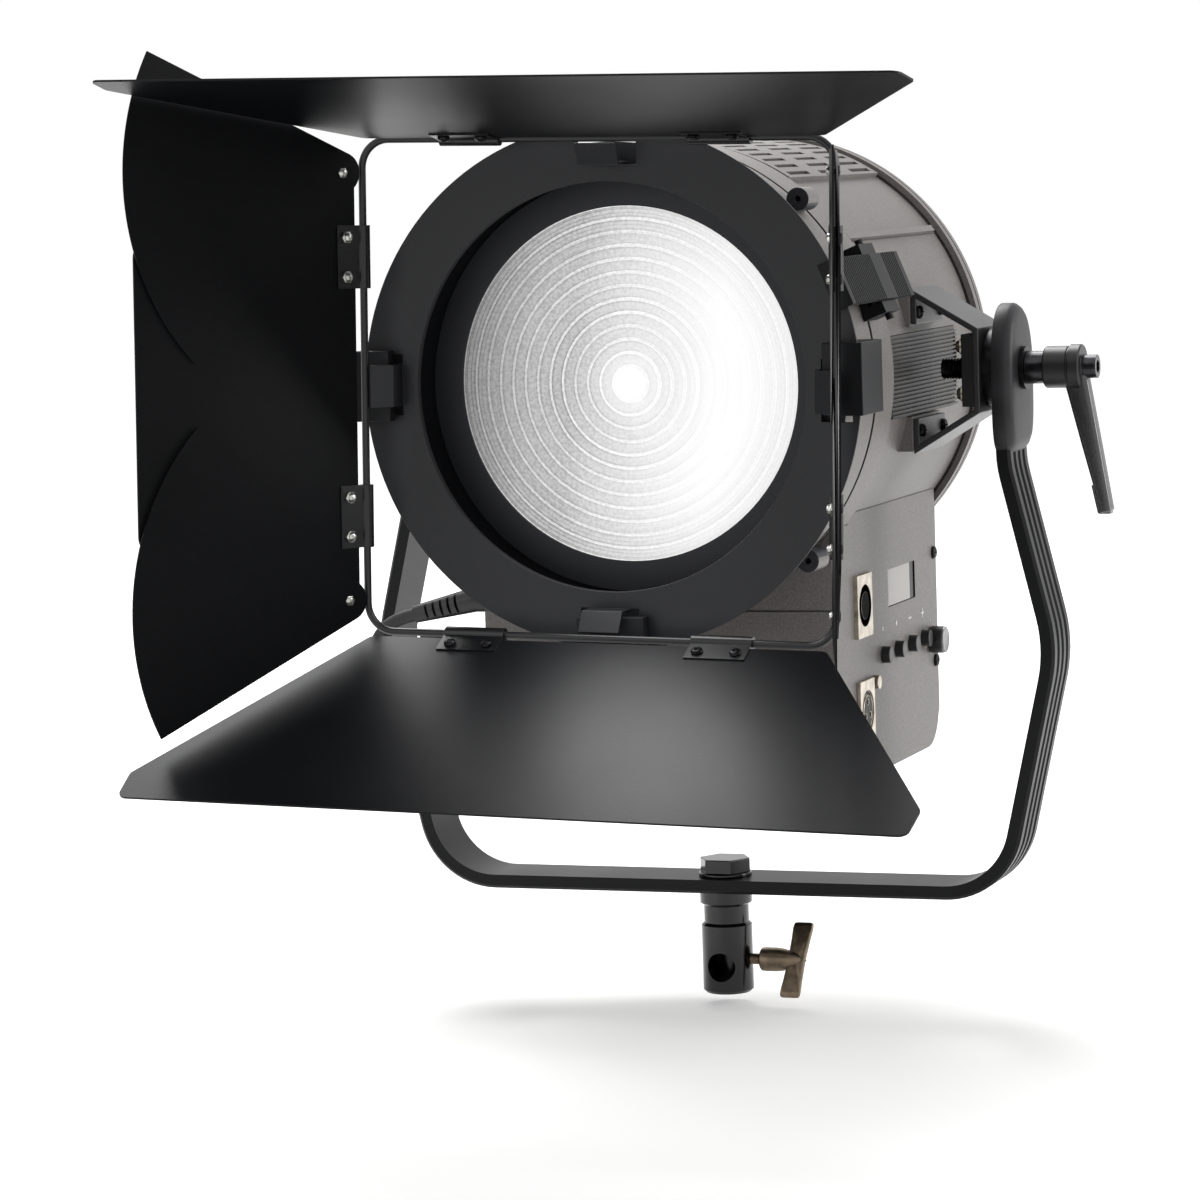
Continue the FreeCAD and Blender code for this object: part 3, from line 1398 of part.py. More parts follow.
def make_gland():
    nut = turned(hexagon(gland_nut_r * 2, box_half_x, gland_nut_x), (0, 1, 0), -full_turn / 4)
    nut = moved(nut, y=gland_y, z=gland_z)
    body = disc((-gland_body_x, gland_y, gland_z), (1, 0, 0), gland_body_r,
                gland_body_x - box_half_x)
    base = V(-gland_body_x, gland_y, gland_z)
    sleeve = Part.makeCone(gland_body_r, relief_end_r, relief_long, base, relief_away())
    knuckle = Part.makeSphere(gland_body_r, base)
    sleeve = sleeve.fuse(knuckle)
    grooves = []
    for k in range(relief_grooves):
        at = relief_long * (k + 2) / (relief_grooves + 3)
        for side in (1, -1):
            slot = block(0, relief_groove, 0, gland_body_r * 2, -gland_body_r * 2, gland_body_r * 2)
            slot = moved(slot, x=at, y=relief_end_r - relief_groove)
            slot = turned(slot, (1, 0, 0), 0 if side > 0 else full_turn / 2)
            slot = turned(slot, (0, 0, 1), full_turn / 2)
            slot = turned(slot, (0, 1, 0), -relief_slope_angle)
            grooves.append(moved(slot, base.x, base.y, base.z))
    keep("cable_gland", [nut.fuse([body, sleeve.cut(grooves)]).removeSplitter()])


def tube_along(points, radii, radius):
    edges = corner_path(points, radii)
    wire = Part.Wire(edges)
    start = points[0]
    section = Part.Wire(Part.Circle(start, points[1] - points[0], radius).toShape())
    return wire.makePipeShell([section], True, False), wire.Length


def cord_radii(points):
    radii = []
    for here, before, after in zip(points[1:-1], points[:-2], points[2:]):
        run = min((here - before).Length, (after - here).Length)
        turn = (here - before).getAngle(after - here)
        radii.append(run * bend_share / math.tan(turn / 2))
    return radii


def coil_point(t):
    """Centre line at t half turns: flat spirals in and out, one layer after another."""
    total = coil_layers * (coil_turns * 2 + 1) - coil_short
    t = min(max(t, 0), total)
    span = coil_turns * 2 + 1
    layer = int(t // span)
    part = t - layer * span
    wound = min(part, coil_turns * 2)
    climb = max(part - coil_turns * 2, 0)
    inner = coil_r - coil_pitch * coil_turns
    if layer % 2 == 0:
        radius = coil_r - coil_pitch * wound / 2
    else:
        radius = inner + coil_pitch * wound / 2
    ease = (1 - math.cos(math.pi * climb)) / 2
    x = coil_x + coil_pitch * (layer + ease)
    turn = math.pi * t - math.radians(coil_start_angle)
    start = math.radians(coil_start_angle)
    centre_y = coil_start_y + coil_r * math.cos(start)
    centre_z = coil_start_z + coil_r * math.sin(start)
    angle = turn + start * 2
    return V(x, centre_y - radius * math.cos(angle), centre_z - radius * math.sin(angle))


def arc_from(a, tangent, b):
    chord = b - a
    unit = V(chord).normalize()
    across = tangent - unit * tangent.dot(unit)
    if across.Length < fit_gap / coil_r / 100:
        return Part.LineSegment(a, b).toShape()
    half = tangent.getAngle(chord) / 2
    middle = (a + b) * (1 / 2) + across.normalize() * (chord.Length / 2 * math.tan(half))
    return Part.Arc(a, middle, b).toShape()


def biarc(p0, t0, p1, t1):
    v = p1 - p0
    t = t0 + t1
    k = (1 - t0.dot(t1)) * 2
    d = (math.sqrt(v.dot(t) ** 2 + k * v.dot(v)) - v.dot(t)) / k
    joint = (p0 + t0 * d + p1 - t1 * d) * (1 / 2)
    back = joint - (p0 + t0 * d)
    return [arc_from(p0, t0, joint), arc_from(joint, back.normalize(), p1)]


def make_lead():
    start = lead_start()
    begin = coil_point(0)
    step = 1 / 200
    first = (coil_point(step) - begin).normalize()
    join = begin - first * coil_lead
    points = [start, start + relief_away() * lead_exit] + [V(*p) for p in lead_route]
    points += [join - first * lead_approach, join]
    radii = cord_radii(points)
    tube, length = tube_along(points, radii, lead_r)
    print("lead radii", [round(r, 1) for r in radii])
    print("lead runs", [round((b - a).Length, 1) for a, b in zip(points, points[1:])])
    print("lead volume share", round(tube.Volume / (math.pi * lead_r ** 2 * length), 4))
    keep("lead_tube", [tube])

    total = coil_layers * (coil_turns * 2 + 1) - coil_short
    steps = int(total * 2)
    edges = [Part.LineSegment(join, begin).toShape()]
    tangents = [first]
    for k in range(1, steps):
        t = total * k / steps
        tangents.append((coil_point(t + step) - coil_point(t - step)).normalize())
    tangents.append((coil_point(total) - coil_point(total - step)).normalize())
    for k in range(steps):
        a = coil_point(total * k / steps)
        b = coil_point(total * (k + 1) / steps)
        edges += biarc(a, tangents[k], b, tangents[k + 1])
    last = coil_point(total)
    finish = last + tangents[-1] * coil_lead
    edges.append(Part.LineSegment(last, finish).toShape())
    wire = Part.Wire(edges)
    section = Part.Wire(Part.Circle(join, first, lead_r).toShape())
    coil = wire.makePipeShell([section], True, False)
    print("coil volume share", round(coil.Volume / (math.pi * lead_r ** 2 * wire.Length), 4))
    print("coil valid", coil.isValid(), "length", round(wire.Length, 1))
    samples = wire.discretize(int(wire.Length / lead_r * 2))
    apart = int(lead_r * 4 / (wire.Length / len(samples)))
    least = min((p - q).Length for k, p in enumerate(samples) for q in samples[k + apart:])
    print("least gap of the coil to itself", round(least - lead_r * 2, 2))
    keep("lead_coil", [coil])

    away = tangents[-1]
    side = V(1, 0, 0)
    front = away.cross(side).normalize()

    def frame(shape):
        matrix = FreeCAD.Matrix(
            side.x, front.x, away.x, finish.x, side.y, front.y, away.y, finish.y,
            side.z, front.z, away.z, finish.z, 0, 0, 0, 1,
        )
        copy = shape.copy()
        copy.transformShape(matrix)
        return copy

    neck = Part.makeCone(relief_end_r, relief_end_r + overrun, plug_neck)
    corners = [(plug_half_x, plug_half_y), (-plug_half_x, plug_half_y),
               (-plug_half_x, -plug_half_y), (plug_half_x, -plug_half_y)]
    body = rounded_prism([(x, y, plug_neck) for x, y in corners], [plug_half_y / 3] * 4,
                         V(0, 0, plug_long))
    tip = plug_neck + plug_long
    pins = [disc((k * plug_pin_pitch, 0, tip), (0, 0, 1), plug_pin_r, plug_pin_long)
            for k in (1, -1)]
    keep("plug", [frame(neck.fuse([body] + pins))])

    top = coil_point(0)
    centre_y = coil_start_y + coil_r * math.cos(math.radians(coil_start_angle))
    centre_z = coil_start_z + coil_r * math.sin(math.radians(coil_start_angle))
    outer = coil_r + lead_r + tie_gap
    inner = coil_r - coil_pitch * coil_turns - lead_r - tie_gap
    x0 = top.x - lead_r - tie_gap
    x1 = top.x + coil_pitch * (coil_layers - 1) + lead_r + tie_gap
    thick = tie_thick
    band = block(x0 - thick, x1 + thick, centre_y - tie_wide / 2, centre_y + tie_wide / 2,
                 centre_z + inner - thick, centre_z + outer + thick)
    room = block(x0, x1, centre_y - tie_wide, centre_y + tie_wide, centre_z + inner,
                 centre_z + outer)
    keep("lead_tie", [band.cut(room)])


make_yoke()
make_receiver()
make_pivots()
make_lever()
make_brackets()
make_drum()
make_bezel()
make_rear()
make_box()
make_panel()
make_works()
make_electronics()
make_ring()
make_doors()
make_ears()
make_latch()
make_gland()
make_lead()

for name, shape in nodes.items():
    broken = [k for k, solid in enumerate(shape.Solids) if not solid.isValid()]
    if broken:
        print("not valid", name, broken)
    shape.exportStep(f"parts/{name}.step")
print(len(nodes), "nodes", sum(len(shape.Solids) for shape in nodes.values()), "solids")
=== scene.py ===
import json
import math
import bmesh
import bpy
import numpy as np
from mathutils import Matrix, Vector


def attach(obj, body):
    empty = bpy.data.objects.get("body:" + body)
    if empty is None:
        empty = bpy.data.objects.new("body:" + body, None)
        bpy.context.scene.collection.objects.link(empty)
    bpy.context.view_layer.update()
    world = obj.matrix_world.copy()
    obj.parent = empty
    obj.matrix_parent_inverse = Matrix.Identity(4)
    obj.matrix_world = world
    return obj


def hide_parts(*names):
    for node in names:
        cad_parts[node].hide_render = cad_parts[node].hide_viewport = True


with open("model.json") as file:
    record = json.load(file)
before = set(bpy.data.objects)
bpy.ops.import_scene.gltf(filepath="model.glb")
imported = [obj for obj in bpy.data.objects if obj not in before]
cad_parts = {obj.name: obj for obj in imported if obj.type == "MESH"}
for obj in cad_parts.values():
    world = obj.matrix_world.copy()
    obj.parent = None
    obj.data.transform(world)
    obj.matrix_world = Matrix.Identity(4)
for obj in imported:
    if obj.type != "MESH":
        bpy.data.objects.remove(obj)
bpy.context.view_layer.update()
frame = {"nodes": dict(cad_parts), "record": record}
nodes = frame["nodes"]
millimetre = 0.001
bodyOf = {name: body for body, names in frame["record"]["behaviour"]["bodies"].items() for name in names}
slotOf = {part["node"]: part["material_slot"] for part in frame["record"]["subparts"]}
print("frame loaded:", len(nodes), "nodes")

# camera: place and aim as fitted to the picture, in metres; the pivot sits right of and above the centre
cameraSettings = {
    "pivot": (0.0, 0.0, 0.3275),
    "fromPivot": (0.7211, -2.1513, 0.1114),
    "lens": 130.28,
    "sensor": 36.0,
    "focal": 4342.7,
    "pivotOffset": (117.0, 223.9),
    "roll": -1.85,
}


def addCamera(settings):
    away = Vector(settings["fromPivot"])
    place = Vector(settings["pivot"]) + away
    forward = -away.normalized()
    right = forward.cross(Vector((0, 0, 1))).normalized()
    up = right.cross(forward)
    turn = math.atan(settings["pivotOffset"][0] / settings["focal"])
    lift = math.atan(-settings["pivotOffset"][1] / settings["focal"])
    ahead = forward * math.cos(turn) - right * math.sin(turn)
    side = right * math.cos(turn) + forward * math.sin(turn)
    level = ahead * math.cos(lift) + up * math.sin(lift)
    top = up * math.cos(lift) - ahead * math.sin(lift)
    roll = math.radians(settings["roll"])
    rightRolled = side * math.cos(roll) + top * math.sin(roll)
    upRolled = top * math.cos(roll) - side * math.sin(roll)
    data = bpy.data.cameras.new("camera")
    data.lens = settings["lens"]
    data.sensor_width = settings["sensor"]
    data.sensor_height = settings["sensor"]
    camera = bpy.data.objects.new("camera", data)
    bpy.context.scene.collection.objects.link(camera)
    turned = Matrix((rightRolled, upRolled, -level)).transposed().to_4x4()
    camera.matrix_world = Matrix.Translation(place) @ turned
    bpy.context.scene.camera = camera
    return camera


camera = addCamera(cameraSettings)


def newObject(name, data):
    piece = bpy.data.objects.new(name, data)
    bpy.context.scene.collection.objects.link(piece)
    return piece


# lead: a round 7 mm rubber lead, from the gland to a tied hank of 7.5 loops in four layers
leadSettings = {
    "radius": 3.5,
    "glandEnd": (-108.0, -70.0, 215.5),
    "reliefSlope": 13.0,
    "reliefLong": 35.0,
    "firstRun": 12.0,
    "route": (
        (-163.0, -70.0, 197.2),
        (-167.5, -69.8, 186.1),
        (-166.6, -69.4, 173.1),
        (-161.3, -68.6, 161.2),
    ),
    "approach": 14.0,
    "coilX": -153.0,
    "coilRadius": 42.0,
    "pitch": 8.6,
    "turnsPerLayer": 1.5,
    "layers": 4,
    "shortBy": 1.5,
    "startAngle": 20.0,
    "start": (-61.0, 129.5),
    "tail": 7.0,
    "pointsPerHalfTurn": 8,
}


def leadPoints(s):
    # coil: radius = R - pitch * wound / 2 going in and back out again, x climbs pitch a layer
    # with (1 - cos(pi * climb)) / 2; centre line = centre - radius * (cos, sin) of pi * t + start
    span = s["turnsPerLayer"] * 2 + 1
    total = s["layers"] * span - s["shortBy"]
    count = int(total * s["pointsPerHalfTurn"])
    t = np.linspace(0, total, count + 1)
    layer = np.minimum(np.floor(t / span), s["layers"] - 1)
    part = t - layer * span
    wound = np.minimum(part, span - 1)
    climb = np.maximum(part - (span - 1), 0)
    inner = s["coilRadius"] - s["pitch"] * s["turnsPerLayer"]
    goingIn = s["coilRadius"] - s["pitch"] * wound / 2
    radius = np.where(layer % 2 == 0, goingIn, inner + s["pitch"] * wound / 2)
    x = s["coilX"] + s["pitch"] * (layer + (1 - np.cos(np.pi * climb)) / 2)
    begin = math.radians(s["startAngle"])
    centreY = s["start"][0] + s["coilRadius"] * math.cos(begin)
    centreZ = s["start"][1] + s["coilRadius"] * math.sin(begin)
    angle = np.pi * t + begin
    coil = np.stack([x, centreY - radius * np.cos(angle), centreZ - radius * np.sin(angle)], axis=1)
    first = coil[1] - coil[0]
    tangent = np.array([0.0, math.sin(begin), -math.cos(begin)])
    last = coil[-1] - coil[-2]
    slope = math.radians(s["reliefSlope"])
    away = np.array([-math.cos(slope), 0.0, -math.sin(slope)])
    start = np.array(s["glandEnd"]) + away * s["reliefLong"]
    join = coil[0] - tangent * s["tail"]
    finish = coil[-1] + last / np.linalg.norm(last) * s["tail"]
    route = [start, start + away * s["firstRun"]]
    route += [np.array(p) for p in s["route"]]
    route += [join - tangent * s["approach"], join]
    points = np.vstack([np.array(route), coil, finish[None, :]])
    return points * millimetre, start * millimetre


def nurbsCurve(name, points, radius):
    curve = bpy.data.curves.new(name, "CURVE")
    curve.dimensions = "3D"
    spline = curve.splines.new("NURBS")
    spline.points.add(len(points) - 1)
    flat = np.hstack([points, np.ones((len(points), 1))]).astype(np.float32)
    spline.points.foreach_set("co", flat.ravel())
    spline.points.foreach_set("radius", np.full(len(points), radius, dtype=np.float32))
    spline.order_u = 3
    spline.use_endpoint_u = True
    spline.resolution_u = 4
    curve.bevel_depth = 1.0
    curve.bevel_resolution = 4
    curve.use_fill_caps = True
    return newObject(name, curve)


leadLine, leadExit = leadPoints(leadSettings)
lead = nurbsCurve("rubberLead", leadLine, leadSettings["radius"] * millimetre)
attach(lead, "head")
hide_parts("lead_tube", "lead_coil")
tuple(leadExit)
print("camera and lead placed")


def linearColour(hexText):
    channels = [int(hexText[k:k + 2], 16) / 255 for k in (1, 3, 5)]
    linear = [c / 12.92 if c <= 0.04045 else ((c + 0.055) / 1.055) ** 2.4 for c in channels]
    return (linear[0], linear[1], linear[2], 1.0)


def addNode(tree, kind, settings=None, links=None):
    node = tree.nodes.new(kind)
    for key, value in (settings or {}).items():
        if isinstance(key, int) or key in node.inputs:
            node.inputs[key].default_value = value
        else:
            setattr(node, key, value)
    for key, source in (links or {}).items():
        tree.links.new(source, node.inputs[key])
    return node


def startMaterial(name, settings):
    material = bpy.data.materials.new(name)
    material.use_nodes = True
    tree = material.node_tree
    tree.nodes.clear()
    shader = addNode(tree, "ShaderNodeBsdfPrincipled", settings)
    out = addNode(tree, "ShaderNodeOutputMaterial")
    tree.links.new(shader.outputs[0], out.inputs["Surface"])
    place = addNode(tree, "ShaderNodeTexCoord")
    return material, tree, shader, place.outputs["Object"]


def colourRamp(tree, source, stops):
    ramp = addNode(tree, "ShaderNodeValToRGB", links={"Fac": source})
    elements = ramp.color_ramp.elements
    for k, (position, hexText) in enumerate(stops):
        element = elements[k] if k < 2 else elements.new(position)
        element.position = position
        element.color = linearColour(hexText)
    return ramp.outputs["Color"]


def scalePerMetre(sizeMm):
    return 1.0 / (sizeMm * millimetre)


def noiseAt(tree, place, sizeMm, detail, roughness=0.5):
    return addNode(tree, "ShaderNodeTexNoise", {"Scale": scalePerMetre(sizeMm), "Detail": detail,
                                                "Roughness": roughness}, {"Vector": place}).outputs["Fac"]


def setColour(tree, shader, source, stops):
    tree.links.new(colourRamp(tree, source, stops), shader.inputs["Base Color"])


def setRoughness(tree, shader, source, low, high):
    rough = addNode(tree, "ShaderNodeMapRange", {"To Min": low, "To Max": high}, {"Value": source})
    tree.links.new(rough.outputs[0], shader.inputs["Roughness"])


def setBump(tree, shader, source, strength, depthMm):
    bump = addNode(tree, "ShaderNodeBump", {"Strength": strength, "Distance": depthMm * millimetre},
                   {"Height": source})
    tree.links.new(bump.outputs[0], shader.inputs["Normal"])


# textured powder coat: baked epoxy-polyester with a fine sandy grain, so highlights break up softly
# (the real grain is about 0.3 mm, drawn at grainMm so that it shows)
powderSettings = {
    "ior": 1.5,
    "grainDetail": 3.0,
    "grainRoughness": 0.6,
    "driftMm": 60.0,
    "driftDetail": 2.0,
    "grainShare": 0.75,
    "darkAt": 0.32,
    "lightAt": 0.68,
    "bump": 0.7,
}


def powderCoat(name, dark, light, grainMm, roughLow, roughHigh, depthMm, sheen=0.5, s=powderSettings):
    material, tree, shader, place = startMaterial(name, {"IOR": s["ior"], "Specular IOR Level": sheen})
    grain = noiseAt(tree, place, grainMm, s["grainDetail"], s["grainRoughness"])
    drift = noiseAt(tree, place, s["driftMm"], s["driftDetail"])
    small = addNode(tree, "ShaderNodeMath", {"operation": "MULTIPLY", 1: 1 - s["grainShare"]}, {0: drift})
    blend = addNode(tree, "ShaderNodeMath", {"operation": "MULTIPLY_ADD", 1: s["grainShare"]},
                    {0: grain, 2: small.outputs[0]})
    setColour(tree, shader, blend.outputs[0], ((s["darkAt"], dark), (s["lightAt"], light)))
    setRoughness(tree, shader, drift, roughLow, roughHigh)
    setBump(tree, shader, grain, s["bump"], depthMm)
    return material


# gloss black lacquer over steel: smooth, with a faint drift in its gloss
def glossLacquer(name, dark, light, roughness):
    material, tree, shader, place = startMaterial(name, {"IOR": 1.5})
    cloud = noiseAt(tree, place, 9.0, 3.0)
    setColour(tree, shader, cloud, ((0.35, dark), (0.7, light)))
    setRoughness(tree, shader, cloud, roughness, roughness + 0.1)
    return material


# moulded plastic: spark-eroded tool texture, softly glossy, a little lighter where it is handled
def mouldedPlastic(name, dark, light, grainMm, roughness, sheen=0.5):
    material, tree, shader, place = startMaterial(name, {"IOR": 1.49, "Specular IOR Level": sheen})
    grain = addNode(tree, "ShaderNodeTexVoronoi", {"Scale": scalePerMetre(grainMm)}, {"Vector": place})
    cloud = noiseAt(tree, place, 18.0, 3.0)
    setColour(tree, shader, cloud, ((0.35, dark), (0.7, light)))
    setRoughness(tree, shader, cloud, roughness - 0.07, roughness + 0.08)
    setBump(tree, shader, grain.outputs["Distance"], 0.25, 0.1)
    return material


# plated steel: bright metal with faint turning lines across the axis and small dull patches
def platedSteel(name, bright, dull, roughness, lineMm):
    material, tree, shader, place = startMaterial(name, {"Metallic": 1.0})
    cloud = noiseAt(tree, place, 6.0, 4.0)
    setColour(tree, shader, cloud, ((0.35, dull), (0.65, bright)))
    setRoughness(tree, shader, cloud, roughness, roughness + 0.16)
    setBump(tree, shader, noiseAt(tree, place, lineMm, 2.0), 0.2, 0.05)
    return material


# rubber sheath: matt with a faint extruded bloom
def rubberSheath(name):
    material, tree, shader, place = startMaterial(name, {"IOR": 1.52, "Roughness": 0.55})
    bloom = noiseAt(tree, place, 3.0, 4.0)
    setColour(tree, shader, bloom, ((0.3, "#131314"), (0.75, "#222224")))
    setBump(tree, shader, bloom, 0.2, 0.1)
    return material


# painted highlight and shade across one step of the lens, and across one of the finer lines near its rim
paintedStepStops = ((0.0, "#ffffff"), (0.17, "#ffffff"), (0.21, "#8c8c8c"), (0.26, "#bcbcbc"), (0.34, "#cecece"),
             (0.74, "#d4d4d4"), (0.86, "#b8b8b8"), (0.92, "#9c9c9c"), (0.95, "#ffffff"), (1.0, "#ffffff"))
paintedFineLineStops = ((0.0, "#8e8e8e"), (0.16, "#f4f4f4"), (0.8, "#ffffff"), (1.0, "#8e8e8e"))


# pressed glass lit from behind: a plain bright middle, then steps that each show a painted bright line and
# painted thin dark ones, no two alike and finer towards the rim, over the soft speckle of the lit chip array;
# the far side of the lens is painted brighter
def litGlass(name, s):
    material, tree, shader, place = startMaterial(name, {"IOR": 1.5, "Roughness": 0.14,
                                                  "Emission Strength": 0.92})

    def maths(operation, first, second=0.0):
        if isinstance(second, float):
            return addNode(tree, "ShaderNodeMath", {"operation": operation, 1: second}, {0: first}).outputs[0]
        return addNode(tree, "ShaderNodeMath", {"operation": operation}, {0: first, 1: second}).outputs[0]

    def mapped(source, low, high, toLow, toHigh):
        return addNode(tree, "ShaderNodeMapRange", {"From Min": low, "From Max": high, "To Min": toLow,
                                                    "To Max": toHigh}, {"Value": source}).outputs[0]

    def mixed(amount, first, second, kind="MIX"):
        values = {"data_type": "RGBA", "blend_type": kind}
        links = {6: first}
        for key, value in ((0, amount), (7, second)):
            (values if isinstance(value, (float, tuple)) else links)[key] = value
        return addNode(tree, "ShaderNodeMix", values, links).outputs[2]

    white = linearColour("#ffffff")
    parts = addNode(tree, "ShaderNodeSeparateXYZ", links={0: place})
    height = maths("SUBTRACT", parts.outputs["Z"], s["axisHeight"] * millimetre)
    flat = addNode(tree, "ShaderNodeCombineXYZ", links={"X": parts.outputs["X"], "Z": height})
    length = addNode(tree, "ShaderNodeVectorMath", {"operation": "LENGTH"}, {0: flat.outputs[0]})
    radius = length.outputs["Value"]
    count = maths("MULTIPLY", maths("SUBTRACT", radius, s["centreDisc"] * millimetre),
                  scalePerMetre(ringPitch(s)))
    share = maths("MULTIPLY", radius, scalePerMetre(s["outer"]))
    # painted highlight and shade of each step, varied from step to step
    ringLight = colourRamp(tree, maths("FRACT", count), paintedStepStops)
    unlike = addNode(tree, "ShaderNodeTexWhiteNoise", {"noise_dimensions": "1D"},
                     {"W": maths("FLOOR", count)})
    rings = mixed(maths("MULTIPLY", unlike.outputs["Value"], 0.5), ringLight, linearColour("#dadada"))
    fine = maths("FRACT", maths("MULTIPLY", count, 3.4))
    fineLight = colourRamp(tree, fine, paintedFineLineStops)
    rings = mixed(mapped(share, 0.7, 0.96, 0.0, 0.75), rings, fineLight, "MULTIPLY")
    speckle = noiseAt(tree, place, s["speckle"], 2.0)
    grainLight = colourRamp(tree, speckle, ((0.38, "#e2e2e2"), (0.6, "#ffffff")))
    grained = mixed(1.0, rings, grainLight, "MULTIPLY")
    # painted light: the lens grows brighter towards one side; this sideLight is a painted ramp, not the lamp
    across = maths("ADD", maths("MULTIPLY", height, -0.12), parts.outputs["X"])
    side = mapped(across, s["paintedShadeFrom"] * millimetre, s["paintedLightFrom"] * millimetre, 0.0, 1.0)
    sideLight = colourRamp(tree, side, ((0.0, s["dull"]), (0.26, "#e4e4e4"), (0.55, "#ffffff")))
    glow = mixed(1.0, grained, sideLight, "MULTIPLY")
    # painted light: the far side washes the rings out, less so at the rim, and the middle has a painted soft
    # halo
    paintedWash = maths("MULTIPLY", mapped(side, 0.4, 0.9, 0.0, 0.94), mapped(share, 0.66, 0.9, 1.0, 0.74))
    washed = mixed(paintedWash, glow, white)
    paintedHalo = mapped(radius, s["centreDisc"] * millimetre, s["paintedHalo"] * millimetre, 0.5, 0.0)
    haloed = mixed(paintedHalo, washed, white)
    inDisc = maths("LESS_THAN", radius, s["centreDisc"] * 0.94 * millimetre)
    bright = mixed(inDisc, haloed, white)
    shade = mixed(1.0, bright, linearColour("#6e6e6e"), "MULTIPLY")
    tree.links.new(shade, shader.inputs["Base Color"])
    tree.links.new(bright, shader.inputs["Emission Color"])
    return material


# woven strap: plain weave of polyester yarn
def wovenStrap(name, threadMm):
    material, tree, shader, place = startMaterial(name, {"Roughness": 0.85, "Sheen Weight": 0.3})
    scale = scalePerMetre(threadMm) / 6
    yarn = [addNode(tree, "ShaderNodeTexWave", {"bands_direction": axis, "Scale": scale},
                    {"Vector": place}).outputs["Fac"] for axis in ("Z", "Y")]
    weave = addNode(tree, "ShaderNodeMath", {"operation": "MULTIPLY"}, {0: yarn[0], 1: yarn[1]}).outputs[0]
    setColour(tree, shader, weave, ((0.1, "#141416"), (0.8, "#2b2b2e")))
    setBump(tree, shader, weave, 0.5, 0.2)
    return material


# printed circuit board and wound parts: green solder mask with pale tracks
def solderMask(name, dark, light, trackMm):
    material, tree, shader, place = startMaterial(name, {"Roughness": 0.35})
    tracks = addNode(tree, "ShaderNodeTexBrick", {"Scale": scalePerMetre(trackMm)}, {"Vector": place})
    setColour(tree, shader, tracks.outputs["Fac"], ((0.3, dark), (0.7, light)))
    return material


# display window: pale when unlit, black at the rear and lower edges, partly its dark border and partly
# painted shade under the wall of its opening
def displayGlass(name, s):
    material, tree, shader, place = startMaterial(name, {"IOR": 1.5, "Roughness": 0.2,
                                                         "Specular IOR Level": 0.08})
    parts = addNode(tree, "ShaderNodeSeparateXYZ", links={0: place})
    beforeEdge = addNode(tree, "ShaderNodeMath", {"operation": "LESS_THAN", 1: s["edgeY"] * millimetre},
                         {0: parts.outputs["Y"]})
    aboveEdge = addNode(tree, "ShaderNodeMath", {"operation": "GREATER_THAN", 1: s["edgeZ"] * millimetre},
                        {0: parts.outputs["Z"]})
    both = addNode(tree, "ShaderNodeMath", {"operation": "MULTIPLY"},
                   {0: beforeEdge.outputs[0], 1: aboveEdge.outputs[0]})
    # black: the window's dark border and painted shade under its opening's wall; pale: the window
    setColour(tree, shader, both.outputs[0], ((0.0, "#050505"), (1.0, "#a19e9b")))
    return material


